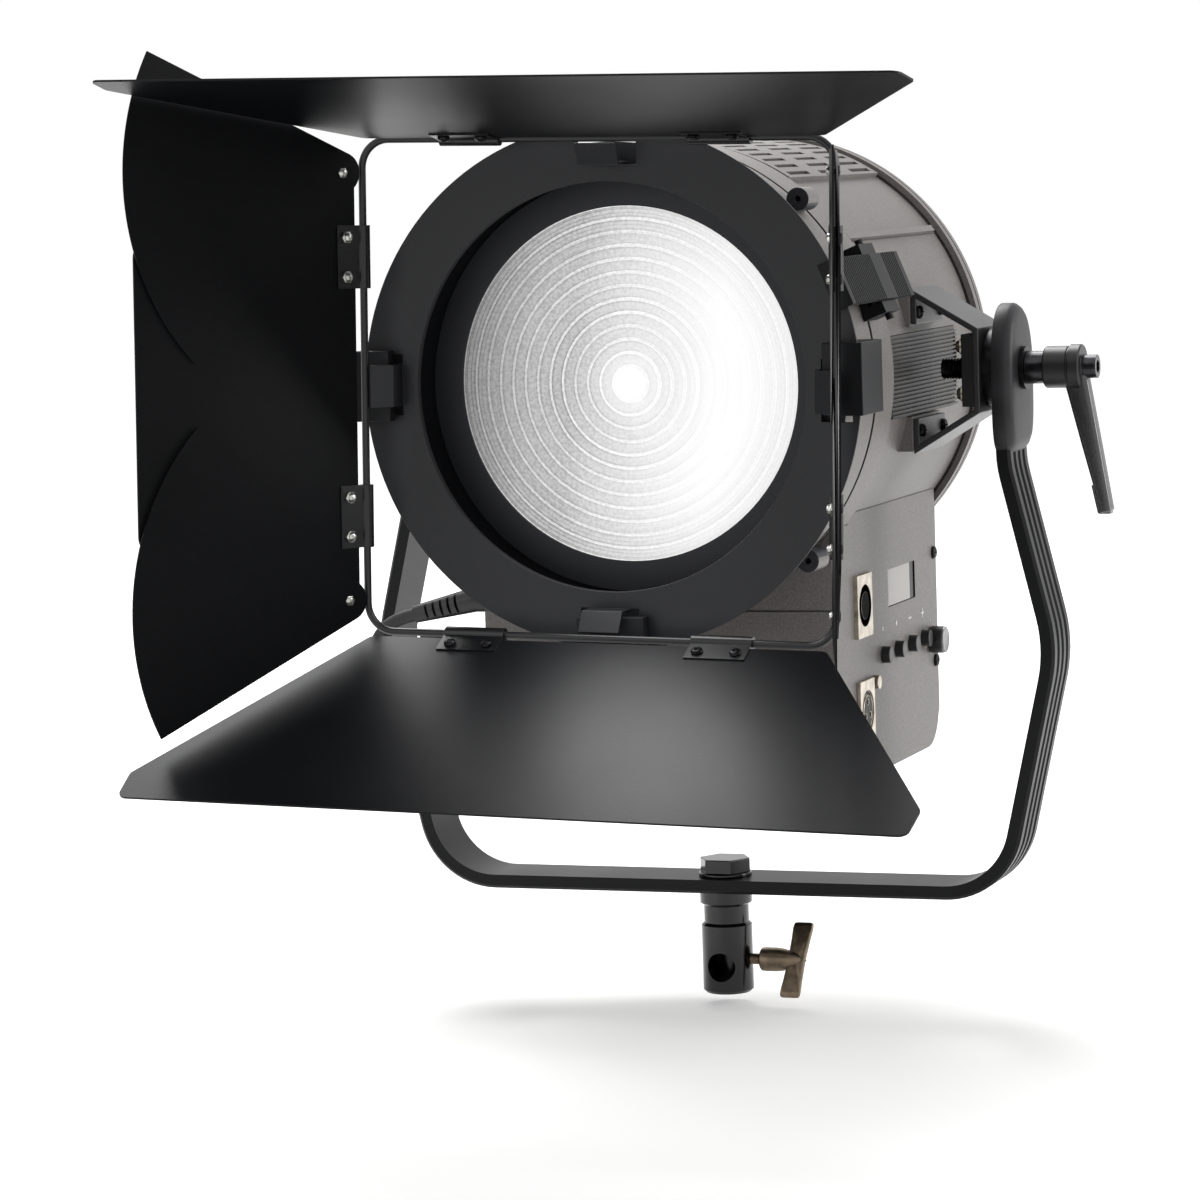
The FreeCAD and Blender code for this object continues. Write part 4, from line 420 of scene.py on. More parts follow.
coats = {
    "door": powderCoat("texturedPowderCoatBlack", "#060709", "#101115", 0.8, 0.34, 0.42, 0.07, 0.14),
    # side doors and leaves: a darker copy of the door coat with less sheen, painted shade
    "shadedSideDoor": powderCoat("texturedPowderCoatDoorPaintedShade", "#050607", "#0d0e11", 0.8, 0.36, 0.44, 0.07, 0.08),
    "ring": powderCoat("texturedPowderCoatRing", "#111215", "#1e1f23", 0.7, 0.38, 0.46, 0.06, 0.34),
    "yoke": powderCoat("texturedPowderCoatYoke", "#08090a", "#121315", 0.7, 0.32, 0.4, 0.05, 0.17),
    # the bracket: a lighter, glossier copy of the yoke's black coat, painted sheen on its top faces
    "bracket": powderCoat("texturedPowderCoatBracketPaintedSheen", "#151517", "#262629", 0.7, 0.34, 0.42, 0.05, 0.6),
    "housing": powderCoat("stovedHammerPaintGrey", "#514e4b", "#767270", 0.9, 0.42, 0.52, 0.1),
    "bezel": powderCoat("stovedPaintDark", "#1e1f22", "#303136", 0.7, 0.42, 0.52, 0.06, 0.3),
    "boss": powderCoat("castEarPaint", "#0e0f11", "#1b1c1f", 0.7, 0.45, 0.55, 0.06, 0.2),
    "panel": powderCoat("anodisedRibbedAluminium", "#2f2d2c", "#444241", 0.5, 0.36, 0.46, 0.03, 0.3),
    "wire": powderCoat("wirePowderCoat", "#0b0c0e", "#17181b", 0.5, 0.28, 0.36, 0.03, 0.4),
    "clip": powderCoat("clipPowderCoat", "#060708", "#101113", 0.5, 0.24, 0.32, 0.02, 0.4),
    "knuckle": mouldedPlastic("glassFilledNylonDark", "#1a1a1c", "#2d2d30", 0.8, 0.46, 0.3),
    "plastic": mouldedPlastic("mouldedNylonBlack", "#0c0c0d", "#161617", 0.6, 0.38),
    # the lever's arm: a lighter copy of the hub's black nylon, painted sheen on its front face
    "lever": mouldedPlastic("glossyNylonBlackPaintedSheen", "#19191a", "#262627", 1.2, 0.26, 1.0),
    "latch": mouldedPlastic("mouldedNylonGrey", "#0b0c0d", "#151618", 0.6, 0.46, 0.16),
    "nickel": platedSteel("nickelPlatedSteel", "#c9c0b2", "#9c9285", 0.22, 0.4),
    "wing": platedSteel("nickelPlatedZincCast", "#857664", "#64594c", 0.3, 0.6),
    "zinc": platedSteel("zincPlatedScrew", "#d4d4d0", "#9e9e9a", 0.22, 0.3),
    "oxide": platedSteel("blackOxideSteel", "#2a2a2c", "#161617", 0.28, 0.4),
    "polished": platedSteel("blackenedPolishedSteel", "#4a4a4c", "#2c2c2e", 0.14, 0.5),
    # black of the socket mouths; on the walls of the display's opening it is painted shade
    "socketBlackAndShade": mouldedPlastic("socketMouthBlackAndPaintedShade", "#030303", "#060606", 0.6, 0.6, 0.02),
    "turned": platedSteel("turnedAluminium", "#8c8c8e", "#6c6c6e", 0.3, 0.4),
    "receiver": glossLacquer("glossBlackLacquer", "#060607", "#0d0d0e", 0.12),
    "mark": mouldedPlastic("screenPrintInk", "#b4b2af", "#c4c2bf", 1.0, 0.5),
    "rubber": rubberSheath("rubberSheath"),
    "strap": wovenStrap("wovenPolyester", 0.9),
    "board": solderMask("solderMaskGreen", "#0f3d26", "#1c6a42", 2.0),
    "phosphor": mouldedPlastic("phosphorYellow", "#e0c34a", "#f2d978", 1.0, 0.5),
    "screen": displayGlass("displayGlass", {"edgeY": 44.5, "edgeZ": 204.6}),
}
# nodes whose shape is right get their finish through their own slots
nodeCoats = {
    "panel": ("ribbed_panels", "heat_sink", "chassis"),
    "wire": ("wire_frame",),
    "plastic": ("plug", "fan_frame", "fan_rotor"),
    "oxide": ("pivot_washers",),
    "strap": ("lead_tie",),
    "board": ("driver_board", "power_supply"),
    "phosphor": ("led_emitter",),
    "screen": ("display",),
}
for coat, names in nodeCoats.items():
    for name in names:
        for slot in nodes[name].material_slots:
            slot.material = coats[coat]
lead.data.materials.append(coats["rubber"])
print("materials made:", len(coats))


def gridMesh(name, points, closeAcross=False, closeAlong=False):
    # points[i, j]: quads join i to i + 1 and j to j + 1, wrapping round where closed
    rows, columns = points.shape[:2]
    lastRow = rows if closeAlong else rows - 1
    lastColumn = columns if closeAcross else columns - 1
    i, j = np.meshgrid(np.arange(lastRow), np.arange(lastColumn), indexing="ij")
    i1 = (i + 1) % rows
    j1 = (j + 1) % columns
    faces = np.stack([i * columns + j, i * columns + j1, i1 * columns + j1, i1 * columns + j], axis=-1)
    mesh = bpy.data.meshes.new(name)
    mesh.from_pydata(points.reshape(-1, 3).tolist(), [], faces.reshape(-1, 4).tolist())
    mesh.polygons.foreach_set("use_smooth", np.ones(len(mesh.polygons), dtype=bool))
    return mesh


def closeMesh(mesh, smoothDegrees):
    work = bmesh.new()
    work.from_mesh(mesh)
    bmesh.ops.remove_doubles(work, verts=work.verts, dist=1e-7)
    bmesh.ops.dissolve_degenerate(work, dist=1e-8, edges=work.edges)
    bmesh.ops.recalc_face_normals(work, faces=work.faces)
    work.to_mesh(mesh)
    work.free()
    mesh.set_sharp_from_angle(angle=math.radians(smoothDegrees))


# stepped lens: a flat back and ring-shaped steps, each a face that leans and a short riser
lensSettings = {
    "outer": 90.35,
    "clear": 88.0,
    "front": -125.7,
    "thick": 6.0,
    "rings": 12,
    "centreDisc": 8.5,
    "rise": 1.6,
    "rimThick": 0.2,
    "axisHeight": 329.0,
    "steps": 180,
    "speckle": 1.6,
    # painted light on the lens: the halo round its middle, and where the brighter side starts and ends, with
    # its dim colour
    "paintedHalo": 24.0,
    "paintedShadeFrom": -92.0,
    "paintedLightFrom": 60.0,
    "dull": "#a0a0a0",
}


def ringPitch(s):
    return (s["clear"] - s["centreDisc"]) / s["rings"]


def lensProfile(s):
    # ring k from r(k) to r(k+1): the face runs from rise deep at its inner edge to 0 at its outer one
    edges = np.linspace(s["centreDisc"], s["clear"], s["rings"] + 1)
    profile = [(0.0, s["front"] + s["thick"]), (s["outer"], s["front"] + s["thick"]),
               (s["outer"], s["front"]), (s["clear"] + s["rimThick"], s["front"])]
    for inner, outer in zip(edges[:-1][::-1], edges[1:][::-1]):
        run = outer - inner
        profile.append((outer, s["front"] + s["rise"] * 0.25))
        profile.append((inner + run * 0.55, s["front"] + s["rise"] * 0.35))
        profile.append((inner + run * 0.12, s["front"] + s["rise"]))
        profile.append((inner, s["front"] + s["rise"] * 0.5))
    profile += [(s["centreDisc"] * 0.6, s["front"] + s["rise"] * 0.2), (0.0, s["front"] + s["rise"] * 0.1)]
    return np.array(profile)


def turnedMesh(name, profile, steps, axisHeight):
    # x = r sin(a), y = profile depth, z = axis + r cos(a)
    angle = np.linspace(0, 2 * np.pi, steps, endpoint=False)
    r = profile[:, 0][:, None]
    points = np.stack([r * np.sin(angle), np.repeat(profile[:, 1][:, None], steps, axis=1),
                       axisHeight + r * np.cos(angle)], axis=-1)
    return gridMesh(name, points * millimetre, closeAcross=True)


lensMesh = turnedMesh("steppedLens", lensProfile(lensSettings), lensSettings["steps"],
                      lensSettings["axisHeight"])
closeMesh(lensMesh, 12)
lens = newObject("steppedLens", lensMesh)
lensMesh.materials.append(litGlass("pressedGlassLit", lensSettings))
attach(lens, "head")
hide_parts("fresnel_lens")
print("lens made")


# small turned and shaped pieces, each a grid of rows round an axis; a row's radius may change round it
def axisFrame(axis, towards=(0.0, 0.0, 1.0)):
    w = np.array(axis, dtype=float)
    w /= np.linalg.norm(w)
    u = np.array(towards, dtype=float)
    u -= w * u.dot(w)
    if np.linalg.norm(u) < 1e-3:
        u = np.array([0.0, 1.0, 0.0]) - w * w[1]
    u /= np.linalg.norm(u)
    return u, np.cross(w, u), w


def spun(rows, origin, axis, sides=28, towards=(0.0, 0.0, 1.0)):
    # point = origin + u r cos(a) + v r sin(a) + w h, r either a number or one value for each angle
    angle = np.linspace(0, 2 * np.pi, sides, endpoint=False)
    u, v, w = axisFrame(axis, towards)
    r = np.array([np.broadcast_to(row[0], (sides,)) for row in rows])[:, :, None]
    h = np.array([row[1] for row in rows])[:, None, None]
    cosine = np.cos(angle)[None, :, None]
    sine = np.sin(angle)[None, :, None]
    return np.array(origin) + u * r * cosine + v * r * sine + w * h


def hexRadius(across, sides):
    # distance to a regular hexagon's edge: half the width / cos(angle from the nearest flat's middle)
    angle = np.linspace(0, 2 * np.pi, sides, endpoint=False)
    return across / 2 / np.cos((angle + np.pi / 6) % (np.pi / 3) - np.pi / 6)


def crossRadius(longHalf, wideHalf, sides):
    # distance to a plus shape's edge: the larger of its two bars' own distances
    angle = np.linspace(0, 2 * np.pi, sides, endpoint=False) + 1e-4
    c = np.abs(np.cos(angle))
    d = np.abs(np.sin(angle))
    return np.maximum(np.minimum(longHalf / c, wideHalf / d), np.minimum(wideHalf / c, longHalf / d))


def partMesh(points, index=0, closeAlong=False):
    mesh = gridMesh("part", points * millimetre, closeAcross=True, closeAlong=closeAlong)
    closeMesh(mesh, 30)
    mesh.polygons.foreach_set("material_index", np.full(len(mesh.polygons), index, dtype=np.int32))
    return mesh


def joinedPiece(name, meshes, coatNames, body, replaced, slot, edgeDegrees=32):
    work = bmesh.new()
    for mesh in meshes:
        work.from_mesh(mesh)
        bpy.data.meshes.remove(mesh)
    joined = bpy.data.meshes.new(name)
    work.to_mesh(joined)
    work.free()
    joined.set_sharp_from_angle(angle=math.radians(edgeDegrees))
    for coat in coatNames:
        joined.materials.append(coats[coat])
    piece = newObject(name, joined)
    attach(piece, body)
    if replaced:
        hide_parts(replaced)
    return piece


def panHead(origin, axis, radius, high, index, sides=48, cross=True):
    # low dome with a cross recess, or a hexagon socket
    inner = crossRadius(radius * 0.55, radius * 0.13, sides) if cross else hexRadius(radius * 0.8, sides)
    rows = [(0.0, 0.0), (radius * 0.98, 0.0), (radius, high * 0.35), (radius * 0.9, high * 0.72),
            (radius * 0.72, high * 0.92), (np.maximum(inner, radius * 0.2) * 1.02, high),
            (inner * 0.94, high * 0.9), (inner * 0.8, high * 0.45), (0.0, high * 0.4)]
    return partMesh(spun(rows, origin, axis, sides), index)


def domeNut(origin, axis, across, high, index, sides=36):
    # hexagon with a domed end
    hexagon = hexRadius(across, sides)
    low = high * 0.45
    rows = [(0.0, 0.0), (hexagon * 0.97, 0.0), (hexagon, high * 0.08), (hexagon, low * 0.85),
            (np.minimum(hexagon * 0.96, across * 0.5), low), (across * 0.42, low),
            (across * 0.41, high * 0.7), (across * 0.33, high * 0.88), (across * 0.18, high * 0.98),
            (0.0, high)]
    return partMesh(spun(rows, origin, axis, sides), index)


# copies of the frame's own meshes: doubles merged, flat parts joined and sharp edges rounded,
# each loose part or face given its own finish
def softCopy(name, width, coatNames, rule=None, extras=(), dropBelow=0.0, segments=2, edgeDegrees=28):
    source = nodes[name]
    work = bmesh.new()
    work.from_mesh(source.data)
    work.transform(source.matrix_world)
    bmesh.ops.remove_doubles(work, verts=work.verts, dist=2e-6)
    if dropBelow:
        small = [f for part in looseParts(work) if partSize(part) < dropBelow * millimetre for f in part]
        bmesh.ops.delete(work, geom=small, context="FACES")
    bmesh.ops.dissolve_limit(work, angle_limit=math.radians(0.6), verts=work.verts, edges=work.edges)
    for face in work.faces:
        face.material_index = 0
    if rule:
        rule(work)
    if width:
        sharp = [e for e in work.edges if len(e.link_faces) == 2
                 and e.calc_face_angle(0.0) > math.radians(edgeDegrees)]
        bmesh.ops.bevel(work, geom=sharp, offset=width * millimetre, offset_type="OFFSET",
                        segments=segments, profile=0.6, affect="EDGES", clamp_overlap=True)
    bmesh.ops.recalc_face_normals(work, faces=work.faces)
    for face in work.faces:
        face.smooth = True
    for extra in extras:
        work.from_mesh(extra)
        bpy.data.meshes.remove(extra)
    mesh = bpy.data.meshes.new(name + "Soft")
    work.to_mesh(mesh)
    work.free()
    mesh.set_sharp_from_angle(angle=math.radians(edgeDegrees + 12))
    for coat in coatNames:
        mesh.materials.append(coats[coat])
    piece = newObject(name + "Soft", mesh)
    # each corner's normal leans to the larger faces, so that flat faces stay flat beside round edges
    weighted = piece.modifiers.new("weightedNormals", "WEIGHTED_NORMAL")
    weighted.keep_sharp = True
    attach(piece, bodyOf[name])
    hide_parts(name)
    return piece


def looseParts(work):
    seen = set()
    for first in work.faces:
        if first in seen:
            continue
        part = []
        stack = [first]
        seen.add(first)
        while stack:
            face = stack.pop()
            part.append(face)
            for edge in face.edges:
                for other in edge.link_faces:
                    if other not in seen:
                        seen.add(other)
                        stack.append(other)
        yield part


def partSize(part):
    points = np.array([v.co for f in part for v in f.verts])
    return np.ptp(points, axis=0).max()


def insideCircle(y, z, radiusMm):
    # faces whose corners all lie within the radius of an axis along X get the second finish
    def rule(work):
        for face in work.faces:
            far = max(math.hypot(v.co.y - y * millimetre, v.co.z - z * millimetre) for v in face.verts)
            if far < radiusMm * millimetre:
                face.material_index = 1
    return rule


def insideBox(low, high):
    # faces whose corners all lie within a box get the second finish
    def rule(work):
        for face in work.faces:
            corners = np.array([v.co for v in face.verts]) / millimetre
            if (corners >= low).all() and (corners <= high).all():
                face.material_index = 1
    return rule


def facingOut(axisHeight):
    # faces that look away from the optical axis get the second finish
    def rule(work):
        for face in work.faces:
            c = face.calc_center_median()
            away = Vector((c.x, 0.0, c.z - axisHeight * millimetre))
            face.normal_update()
            if away.length > 0.01 and face.normal.dot(away.normalized()) > 0.5:
                face.material_index = 1
    return rule


# which nodes are softened: edge radius in mm, finishes, the rule that shares them out, and the nodes
softNodes = (
    (0.5, ("yoke",), None, ("yoke",)),
    (0.5, ("bracket",), None, ("side_brackets",)),
    (0.3, ("ring",), None, ("barn_ring",)),
    (0.6, ("boss",), None, ("ring_ears",)),
    (0.25, ("door",), None, ("top_door", "bottom_door")),
    # the side doors and leaves take the darker copy of the door coat: painted shade
    (0.25, ("shadedSideDoor",), None, ("left_door", "right_door")),
    (0.2, ("shadedSideDoor",), None, ("left_upper_leaf", "left_lower_leaf", "right_upper_leaf",
                                "right_lower_leaf")),
    (0.4, ("housing",), None, ("upper_shell", "lower_shell")),
    # the walls of the display's opening get the black socket finish: painted shade in the recess
    (0.5, ("housing", "socketBlackAndShade"), insideBox((88.0, -2.0, 200.0), (93.05, 57.0, 228.0)), ("control_box",)),
    (0.5, ("bezel", "housing"), facingOut(329.0), ("bezel",)),
    (0.5, ("housing",), None, ("rear_cover",)),
    (0.3, ("bezel",), None, ("lens_keeper",)),
    (0.5, ("latch",), None, ("latch_base",)),
    (0.4, ("latch",), None, ("latch_arm",)),
    (0.4, ("receiver",), None, ("receiver",)),
    (0.5, ("receiver",), None, ("receiver_bolt",)),
    (0.4, ("polished",), None, ("lever_bush",)),
    (0.4, ("plastic",), None, ("cable_gland",)),
    (0.5, ("plastic",), None, ("button_1", "button_2", "button_3", "button_4")),
    (0.4, ("plastic",), None, ("focus_screw",)),
    (0.4, ("nickel",), None, ("release_tab",)),
    (0.4, ("nickel", "socketBlackAndShade"), insideCircle(-47.5, 210.5, 11.4), ("power_inlet",)),
    (0.4, ("nickel", "latch"), insideCircle(-47.0, 156.5, 11.4), ("data_socket",)),
)
for width, coatNames, rule, names in softNodes:
    for name in names:
        softCopy(name, width, coatNames, rule)
print("edges rounded:", sum(len(row[3]) for row in softNodes))


# barn-door hinges: clips as in the frame, each with two M3 screws; the side doors show domed nuts
# on the inside and carry the leaves' rivets
hingeSettings = {
    "hingeRadius": 121.4,
    "hingeFront": -174.2,
    "axisHeight": 329.0,
    "roll": 1.54,
    "screwOut": 11.0,
    "clipCentre": 64.0,
    "screwHalf": 9.7,
    "face": 1.35,
    "nutAcross": 5.6,
    "nutHigh": 3.6,
    "headRadius": 3.0,
    "headHigh": 1.9,
    "rivetOut": 13.1,
    "rivetAlong": 105.3,
    "washerRadius": 4.5,
    "washerInner": {1: 2.5, -1: 3.5},
    "washerThick": 0.5,
    "rivetAcross": 4.6,
    "rivetHigh": 1.9,
    "tailRadius": 4.5,
    "tailFace": 0.6,
    "tailHigh": 1.4,
    "shankRadius": 1.5,
}
doorSettings = {
    "top": ((0.0, 0.0, 1.0), 10.8),
    "bottom": ((0.0, 0.0, -1.0), 26.2),
    "left": ((-1.0, 0.0, 0.0), 32.4),
    "right": ((1.0, 0.0, 0.0), 17.5),
}


def doorFrame(out, openDegrees, s):
    # away = front cos(open) + out sin(open), normal = out cos(open) - front sin(open), all rolled
    # about the optical axis: x' = x cos + z sin, z' = z cos - x sin
    out = np.array(out)
    front = np.array([0.0, -1.0, 0.0])
    angle = math.radians(openDegrees)
    away = front * math.cos(angle) + out * math.sin(angle)
    normal = out * math.cos(angle) - front * math.sin(angle)
    along = np.cross(normal, away)
    base = out * s["hingeRadius"] + np.array([0.0, s["hingeFront"], 0.0])
    roll = math.radians(s["roll"])
    turn = np.array([[math.cos(roll), 0.0, math.sin(roll)], [0.0, 1.0, 0.0],
                     [-math.sin(roll), 0.0, math.cos(roll)]])
    lift = np.array([0.0, 0.0, s["axisHeight"]])
    return turn @ base + lift, turn @ away, turn @ normal, turn @ along


def hingeParts(side, s):
    base, away, normal, along = doorFrame(*doorSettings[side], s)
    sideways = side in ("left", "right")
    parts = []
    for centre in (-s["clipCentre"], s["clipCentre"]):
        for half in (-s["screwHalf"], s["screwHalf"]):
            spot = base + away * s["screwOut"] + along * (centre + half)
            inner = spot - normal * s["face"]
            outer = spot + normal * s["face"]
            if sideways:
                parts.append(domeNut(inner, -normal, s["nutAcross"], s["nutHigh"], 1))
            else:
                parts.append(panHead(inner, -normal, s["headRadius"], s["headHigh"], 2, cross=False))
            parts.append(panHead(outer, normal, s["headRadius"], s["headHigh"], 2, cross=False))
            shank = [(0.0, 0.0), (s["shankRadius"], 0.0), (s["shankRadius"], s["face"] * 2),
                     (0.0, s["face"] * 2)]
            parts.append(partMesh(spun(shank, inner, normal, 16), 2))
    if sideways:
        for sign in (1, -1):
            spot = base + away * s["rivetOut"] + along * (s["rivetAlong"] * sign)
            inner = s["washerInner"][sign]
            r = s["washerRadius"]
            thick = s["washerThick"]
            washer = [(0.0, 0.0), (r * 0.97, 0.0), (r, thick * 0.4), (r * 0.96, thick), (0.0, thick)]
            start = spot - normal * (inner - thick * 2)
            parts.append(partMesh(spun(washer, start, -normal, 32), 0))
            parts.append(domeNut(start - normal * thick, -normal, s["rivetAcross"], s["rivetHigh"], 1))
            tail = spot + normal * s["tailFace"]
            parts.append(panHead(tail, normal, s["tailRadius"] * 0.7, s["tailHigh"], 2, cross=False))
            reach = inner + s["tailFace"]
            shank = [(0.0, 0.0), (s["shankRadius"], 0.0), (s["shankRadius"], reach), (0.0, reach)]
            parts.append(partMesh(spun(shank, tail, -normal, 16), 2))
    return parts


for side in doorSettings:
    softCopy(side + "_hinges", 0.3, ("clip", "zinc", "oxide"), extras=hingeParts(side, hingeSettings),
             dropBelow=14.0)
print("hinges made")

# case screws: M3.5 pan heads with cross recesses, on the bracket feet and the control box
screwSettings = {
    "pivotHeight": 327.5,
    "foot": (119.5, 20.0, 30.0, 3.4, 2.3),
    "panel": (93.0, 89.0, (-103.0, -161.0), 3.5, 1.9),
}


def caseScrews(s):
    parts = []
    x, y, z, radius, high = s["foot"]
    panelX, panelY, panelZs, panelRadius, panelHigh = s["panel"]
    for side in (-1, 1):
        for back in (-1, 1):
            for up in (-1, 1):
                place = (x * side, y * back, s["pivotHeight"] + z * up)
                parts.append(panHead(place, (side, 0, 0), radius, high, 0))
        for drop in panelZs:
            place = (panelX * side, panelY, s["pivotHeight"] + drop)
            parts.append(panHead(place, (side, 0, 0), panelRadius, panelHigh, 0))
    return parts


joinedPiece("caseScrews", caseScrews(screwSettings), ("oxide",), bodyOf["case_screws"], "case_screws",
            slotOf["case_screws"])

# clamp blocks: the two blocks as in the frame, with M6 domed nuts on their inner faces
blockSettings = {"face": 141.5, "y": 15.0, "z": 12.0, "height": 327.5, "across": 7.6, "high": 4.4}


def blockNuts(s):
    parts = []
    for side in (-1, 1):
        for y in (-s["y"], s["y"]):
            for z in (-s["z"], s["z"]):
                place = (s["face"] * side, y, s["height"] + z)
                parts.append(domeNut(place, (-side, 0, 0), s["across"], s["high"], 1))
    return parts


softCopy("clamp_blocks", 1.2, ("plastic", "nickel"), extras=blockNuts(blockSettings), dropBelow=12.0)

# pivot bolts: as in the frame, the right one with rolled thread turns round its inner end
threadSettings = {"from": 126.6, "to": 141.0, "height": 327.5, "root": 5.03, "crest": 5.7, "pitch": 1.5,
                  "perTurn": 24, "rowsPerPitch": 6}


def threadMesh(s, side):
    # radius = root + (crest - root) (0.5 + 0.5 cos(2 pi (x / pitch) - angle)), a one-start screw surface
    length = s["to"] - s["from"]
    rows = int(length / s["pitch"] * s["rowsPerPitch"])
    x = np.linspace(0.0, length, rows)
    angle = np.linspace(0, 2 * np.pi, s["perTurn"], endpoint=False)
    wave = 0.5 + 0.5 * np.cos(2 * np.pi * x[:, None] / s["pitch"] - angle[None, :])
    radius = s["root"] + (s["crest"] - s["root"]) * wave
    profile = [(0.0, 0.0)] + list(zip(radius, x)) + [(0.0, length)]
    return partMesh(spun(profile, (s["from"] * side, 0.0, s["height"]), (side, 0, 0), s["perTurn"]), 0)


softCopy("pivot_bolts", 0.4, ("oxide",), extras=[threadMesh(threadSettings, side) for side in (1, -1)])

# knuckle covers: round-topped caps over the yoke's ends, with a wide soft bevel on the outer face
coverSettings = {
    "height": 327.5,
    "halfWide": 24.0,
    "top": 33.0,
    "foot": 43.0,
    "topPower": 2.15,
    "footPower": 5.0,
    "inner": 157.4,
    "outer": 168.0,
    "hole": 5.4,
    "recess": 1.6,
    "steps": 112,
}


def coverMesh(s, side):
    # outline: |y / halfWide|^p + |z / top or foot|^p = 1, blended to a round hole for the rows' share
    angle = np.linspace(0, 2 * np.pi, s["steps"], endpoint=False)
    c, d = np.cos(angle), np.sin(angle)
    power = np.where(d >= 0, s["topPower"], s["footPower"])
    high = np.where(d >= 0, s["top"], s["foot"])
    y = s["halfWide"] * np.sign(c) * np.abs(c) ** (2 / power)
    z = high * np.sign(d) * np.abs(d) ** (2 / power)
    rows = [(0.0, s["inner"] + s["recess"]), (0.0, s["outer"]), (0.4, s["outer"]), (0.80, s["outer"]),
            (0.86, s["outer"] - 0.35), (0.93, s["outer"] - 1.5), (0.985, s["outer"] - 3.4),
            (1.0, s["outer"] - 4.4), (1.0, s["inner"] + 0.6), (0.985, s["inner"]), (0.9, s["inner"]),
            (0.88, s["inner"] + s["recess"])]
    grid = []
    for share, x in rows:
        ys = s["hole"] * c * (1 - share) + y * share
        zs = s["hole"] * d * (1 - share) + z * share
        grid.append(np.stack([np.full_like(ys, x * side), ys, zs + s["height"]], axis=-1))
    return partMesh(np.array(grid), 0, closeAlong=True)


joinedPiece("knuckleCovers", [coverMesh(coverSettings, 1), coverMesh(coverSettings, -1)], ("knuckle",),
            bodyOf["knuckle_covers"], "knuckle_covers", slotOf["knuckle_covers"], 40)

# clamping lever: hub and cap round the pivot, a straight tapering arm with a toe at its end
leverSettings = {
    "height": 327.5,
    "hub": ((6.6, 180.2), (10.1, 180.2), (10.7, 180.9), (10.7, 191.9), (10.25, 192.4), (10.25, 192.9),
            (11.5, 193.6), (11.5, 198.7), (10.9, 199.4), (6.6, 199.4)),
    "root": (195.6, -4.0),
    "tip": (210.6, -74.2),
    "rootHalf": (6.4, 4.4),
    "tipHalf": (2.8, 4.8),
    "power": 6.0,
    "toe": (207.6, -67.4),
    "toeHalf": (3.6, 3.6, 7.4),
    "sides": 40,
}


def boxRows(centres, halves, power, sides):
    # rounded bars: x = halfX cos^(2/p), y = halfY sin^(2/p) about each centre, its ends drawn in
    angle = np.linspace(0, 2 * np.pi, sides, endpoint=False)
    c, d = np.cos(angle), np.sin(angle)
    x = np.sign(c) * np.abs(c) ** (2 / power)
    y = np.sign(d) * np.abs(d) ** (2 / power)
    rows = []
    for (cx, cy, cz), (hx, hy) in zip(centres, halves):
        rows.append(np.stack([cx + hx * x, cy + hy * y, np.full_like(x, cz)], axis=-1))
    return np.array(rows)


def leverMeshes(s):
    up = s["height"]
    hub = partMesh(spun(s["hub"], (0.0, 0.0, up), (1, 0, 0), 48), 0, closeAlong=True)
    t = np.array([0.0, 0.0, 0.1, 0.3, 0.5, 0.7, 0.9, 0.985, 1.0, 1.0])
    shrink = np.array([0.0, 1.0, 1.0, 1.0, 1.0, 1.0, 1.0, 1.0, 0.75, 0.0])
    x = s["root"][0] + (s["tip"][0] - s["root"][0]) * t
    z = up + s["root"][1] + (s["tip"][1] - s["root"][1]) * t
    halfX = (s["rootHalf"][0] + (s["tipHalf"][0] - s["rootHalf"][0]) * t) * shrink
    halfY = (s["rootHalf"][1] + (s["tipHalf"][1] - s["rootHalf"][1]) * t) * shrink
    arm = boxRows(list(zip(x, np.zeros_like(x), z)), list(zip(halfX, halfY)), s["power"], s["sides"])
    # the arm's end is cut square to the lean of the arm: z follows x by the same slope
    lean = (s["tip"][0] - s["root"][0]) / (s["root"][1] - s["tip"][1])
    arm[:, :, 2] += (arm[:, :, 0] - x[:, None]) * lean * np.clip(t * 2, 0, 1)[:, None]
    hx, hy, hz = s["toeHalf"]
    toeT = np.array([-1.0, -1.0, -0.93, 0.93, 1.0, 1.0])
    toeShrink = np.array([0.0, 0.85, 1.0, 1.0, 0.85, 0.0])
    toe = boxRows([(s["toe"][0] + k * hz * lean * -1.0, 1.0, up + s["toe"][1] + k * hz) for k in toeT],
                  [(hx * q, hy * q) for q in toeShrink], s["power"], s["sides"])
    return [hub, partMesh(arm, 1), partMesh(toe, 1)]


joinedPiece("clampLever", leverMeshes(leverSettings), ("plastic", "lever"), bodyOf["clamp_lever"],
            "clamp_lever", slotOf["clamp_lever"])

# wing screw: threaded stem, a bullet-shaped hub and two flat cast lobes
wingSettings = {
    "height": 17.5,
    "turn": 25.0,
    "stem": ((0.0, 8.4), (2.7, 8.4), (3.0, 8.9), (3.0, 19.5), (0.0, 19.5)),
    "threadEvery": 1.0,
    "hub": ((0.0, 18.8), (5.4, 18.8), (6.2, 19.5), (6.35, 21.5), (6.35, 27.0), (5.9, 31.0), (4.9, 35.0),
            (3.3, 39.0), (1.6, 42.3), (0.0, 43.6)),
    "lobeCentre": 38.2,
    "lobeHalf": (5.2, 20.4),
    "waist": 1.4,
    "slant": 0.1,
    "thick": 4.6,
    "thin": 3.4,
    "power": 9.0,
    "sides": 72,
}


